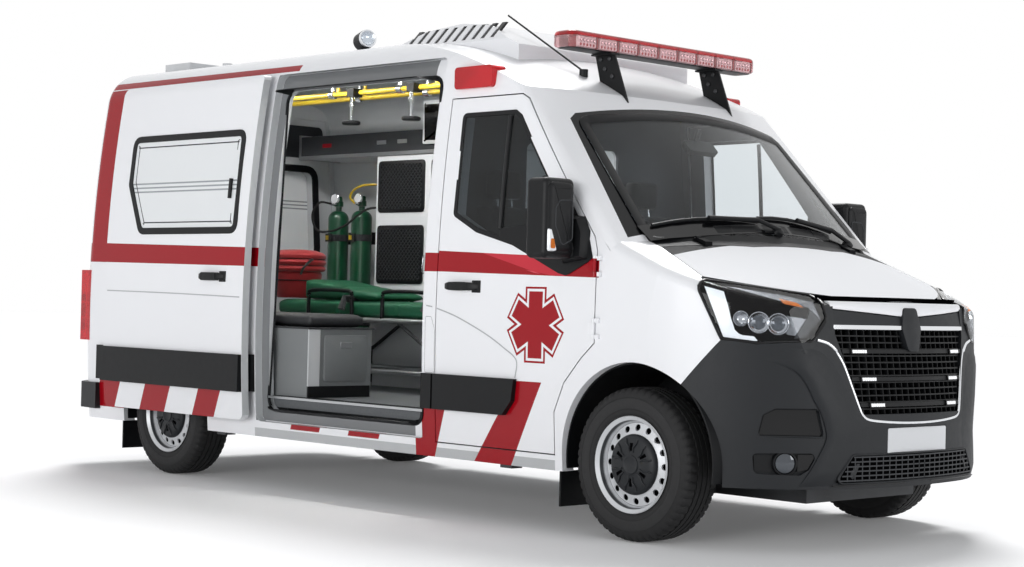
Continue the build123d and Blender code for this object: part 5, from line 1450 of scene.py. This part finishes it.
# Painted shade: gloss black blocks set in the fairing slots stand in for the shade inside them.
slot_shade_blocks = Piece("fairing_slot_shades")
for index in range(10):
    x = -2.009 + 0.072 * index
    slot_shade_blocks.prism([(0.6125, 2.4205), (0.63, 2.4205), (0.548, 2.5085), (0.5305, 2.5085)], "x", x, x + 0.028,
                gloss_black)
slot_shade_blocks.done(both_sides=True)

for name, side in SIDES:
    lining = Piece(f"rear_door_lining_{name}", f"rear_door_{name}")
    wall = cast([f"rear_door_{name}"], (-3.6, side * 0.45, 1.15), (-1, 0, 0)).x
    loop = rounded(sided(PANES["rear"], side), 0.06, 5)
    band(lining, loop, lambda p, out: Vector((wall + out - 0.003, p[0], p[1])), -0.004, 0.045, 0.012,
         black_plastic)
    upper = rounded(sided([(0.08, 1.99), (0.82, 1.99), (0.77, 2.21), (0.08, 2.21)], side), 0.04, 5)
    lining.plate(upper, "x", ((wall - 0.003, 0.0), (wall + 0.006, -0.004)), dark_grey)
    lower_card = rounded(sided(level(0.07, 0.82, 0.6, 1.22), side), 0.05, 5)
    lining.plate(lower_card, "x", ((wall - 0.003, 0.0), (wall + 0.005, -0.004)), lining_grey)
    lining.done()

cab = Piece("cab_details")
cab.prism([(-0.28, 1.318), (-0.44, 1.25), (-0.45, 1.33), (-0.4, 1.375), (-0.3, 1.365)], "y", 0.3, 0.64,
          black_plastic)
cab.prism([(-0.462, 1.06), (-0.475, 1.06), (-0.44, 1.235), (-0.425, 1.235)], "y", -0.12, 0.14, gloss_black)
for y in (-0.78, -0.3, 0.2, 0.8):
    for row in range(4):
        z = 1.19 + row * 0.014
        x = -0.452 + row * 0.003
        cab.tube([(x, y - 0.06, z), (x, y + 0.06, z)], 0.004, black_plastic, 6)
cab.tube([(-0.56, 0.02, 0.9), (-0.53, 0.02, 1.08)], 0.012, black_plastic, 10)
cab.lathe([(-0.03, TIP), (-0.025, 0.018), (0.0, 0.026), (0.02, 0.02), (0.028, TIP)], (-0.527, 0.02, 1.1),
          (0.16, 0, 1), black_plastic, 20)
cab.prism([(-0.7, 0.64), (-0.45, 0.64), (-0.45, 0.95), (-0.56, 0.92), (-0.7, 0.75)], "y", -0.06, 0.1,
          dark_grey)
cab.done(bevel=0.004)


# Stage, light and camera
floor_mesh = bpy.data.meshes.new("floor")
FLOOR_REACH = 60.0
corners = level(-FLOOR_REACH, FLOOR_REACH, -FLOOR_REACH, FLOOR_REACH)
floor_mesh.from_pydata([(x, y, 0) for x, y in corners], [], [(0, 1, 2, 3)])
floor = bpy.data.objects.new("floor", floor_mesh)
bpy.context.scene.collection.objects.link(floor)
floor_paint = Finish("floor_white", (250, 250, 251), 0.9).mottle((246, 246, 247), 0.6, 0.4)
ray = floor_paint.node("ShaderNodeLightPath").outputs
seen = floor_paint.math("MAXIMUM", ray["Is Camera Ray"], ray["Is Glossy Ray"])
floor_paint.link(floor_paint.math("MAXIMUM", seen, ray["Is Transmission Ray"]), "Emission Strength")
floor_paint.set(Emission_Color=(0.07, 0.07, 0.07, 1))
floor_mesh.materials.append(floor_paint.material)

world = bpy.data.worlds.new("studio")
bpy.context.scene.world = world
world.use_nodes = True
sky = world.node_tree
sky_light = sky.nodes["Background"]
sky_light.inputs[0].default_value = (0.96, 0.98, 1, 1)
sky_light.inputs[1].default_value = 0.32
sky_seen = sky.nodes.new("ShaderNodeBackground")
sky_seen.inputs[0].default_value = (1, 1, 1, 1)
sky_seen.inputs[1].default_value = 1.0
ray = sky.nodes.new("ShaderNodeLightPath")
which = ray.outputs["Is Camera Ray"]
for kind in ("Is Glossy Ray", "Is Transmission Ray"):
    either = sky.nodes.new("ShaderNodeMath")
    either.operation = "MAXIMUM"
    sky.links.new(which, either.inputs[0])
    sky.links.new(ray.outputs[kind], either.inputs[1])
    which = either.outputs[0]
choose = sky.nodes.new("ShaderNodeMixShader")
sky.links.new(which, choose.inputs[0])
sky.links.new(sky_light.outputs[0], choose.inputs[1])
sky.links.new(sky_seen.outputs[0], choose.inputs[2])
sky.links.new(choose.outputs[0], sky.nodes["World Output"].inputs[0])


def area_light(name, place, target, size, power):
    lamp = bpy.data.lights.new(name, "AREA")
    lamp.shape = "RECTANGLE"
    lamp.size, lamp.size_y = size
    lamp.energy = power
    light = bpy.data.objects.new(name, lamp)
    light.location = place
    light.rotation_euler = (Vector(target) - Vector(place)).to_track_quat("-Z", "Y").to_euler()
    bpy.context.scene.collection.objects.link(light)


area_light("side_light", (3.0, -13.0, 2.6), (-0.8, -1.0, 1.2), (9, 3.5), 650)
area_light("front_light", (12.0, 1.0, 2.8), (2.0, 0, 1.0), (6, 3), 280)
key = bpy.data.lights.new("key_light", "SUN")
key.energy = 2.45
key.angle = math.radians(24)
key_light = bpy.data.objects.new("key_light", key)
key_light.rotation_euler = Vector((0.6, -0.6, -1.0)).to_track_quat("-Z", "Y").to_euler()
bpy.context.scene.collection.objects.link(key_light)

camera_data = bpy.data.cameras.new("camera")
camera_data.sensor_width = 36.0
camera_data.lens = 67.57
camera = bpy.data.objects.new("camera", camera_data)
CAMERA_PLACE = (7.7385, -7.40, 1.09)
yaw, pitch, roll = math.radians(135.86), math.radians(-0.4), math.radians(1.46)
ahead = Vector((math.cos(yaw) * math.cos(pitch), math.sin(yaw) * math.cos(pitch), -math.sin(pitch)))
right = Vector((math.sin(yaw), -math.cos(yaw), 0))
up = right.cross(ahead)
across = right * math.cos(roll) + up * math.sin(roll)
upward = up * math.cos(roll) - right * math.sin(roll)
turned = Matrix((across, upward, -ahead)).transposed().to_4x4()
camera.matrix_world = Matrix.Translation(CAMERA_PLACE) @ turned
bpy.context.scene.collection.objects.link(camera)
bpy.context.scene.camera = camera
bpy.context.scene.view_settings.view_transform = "Standard"
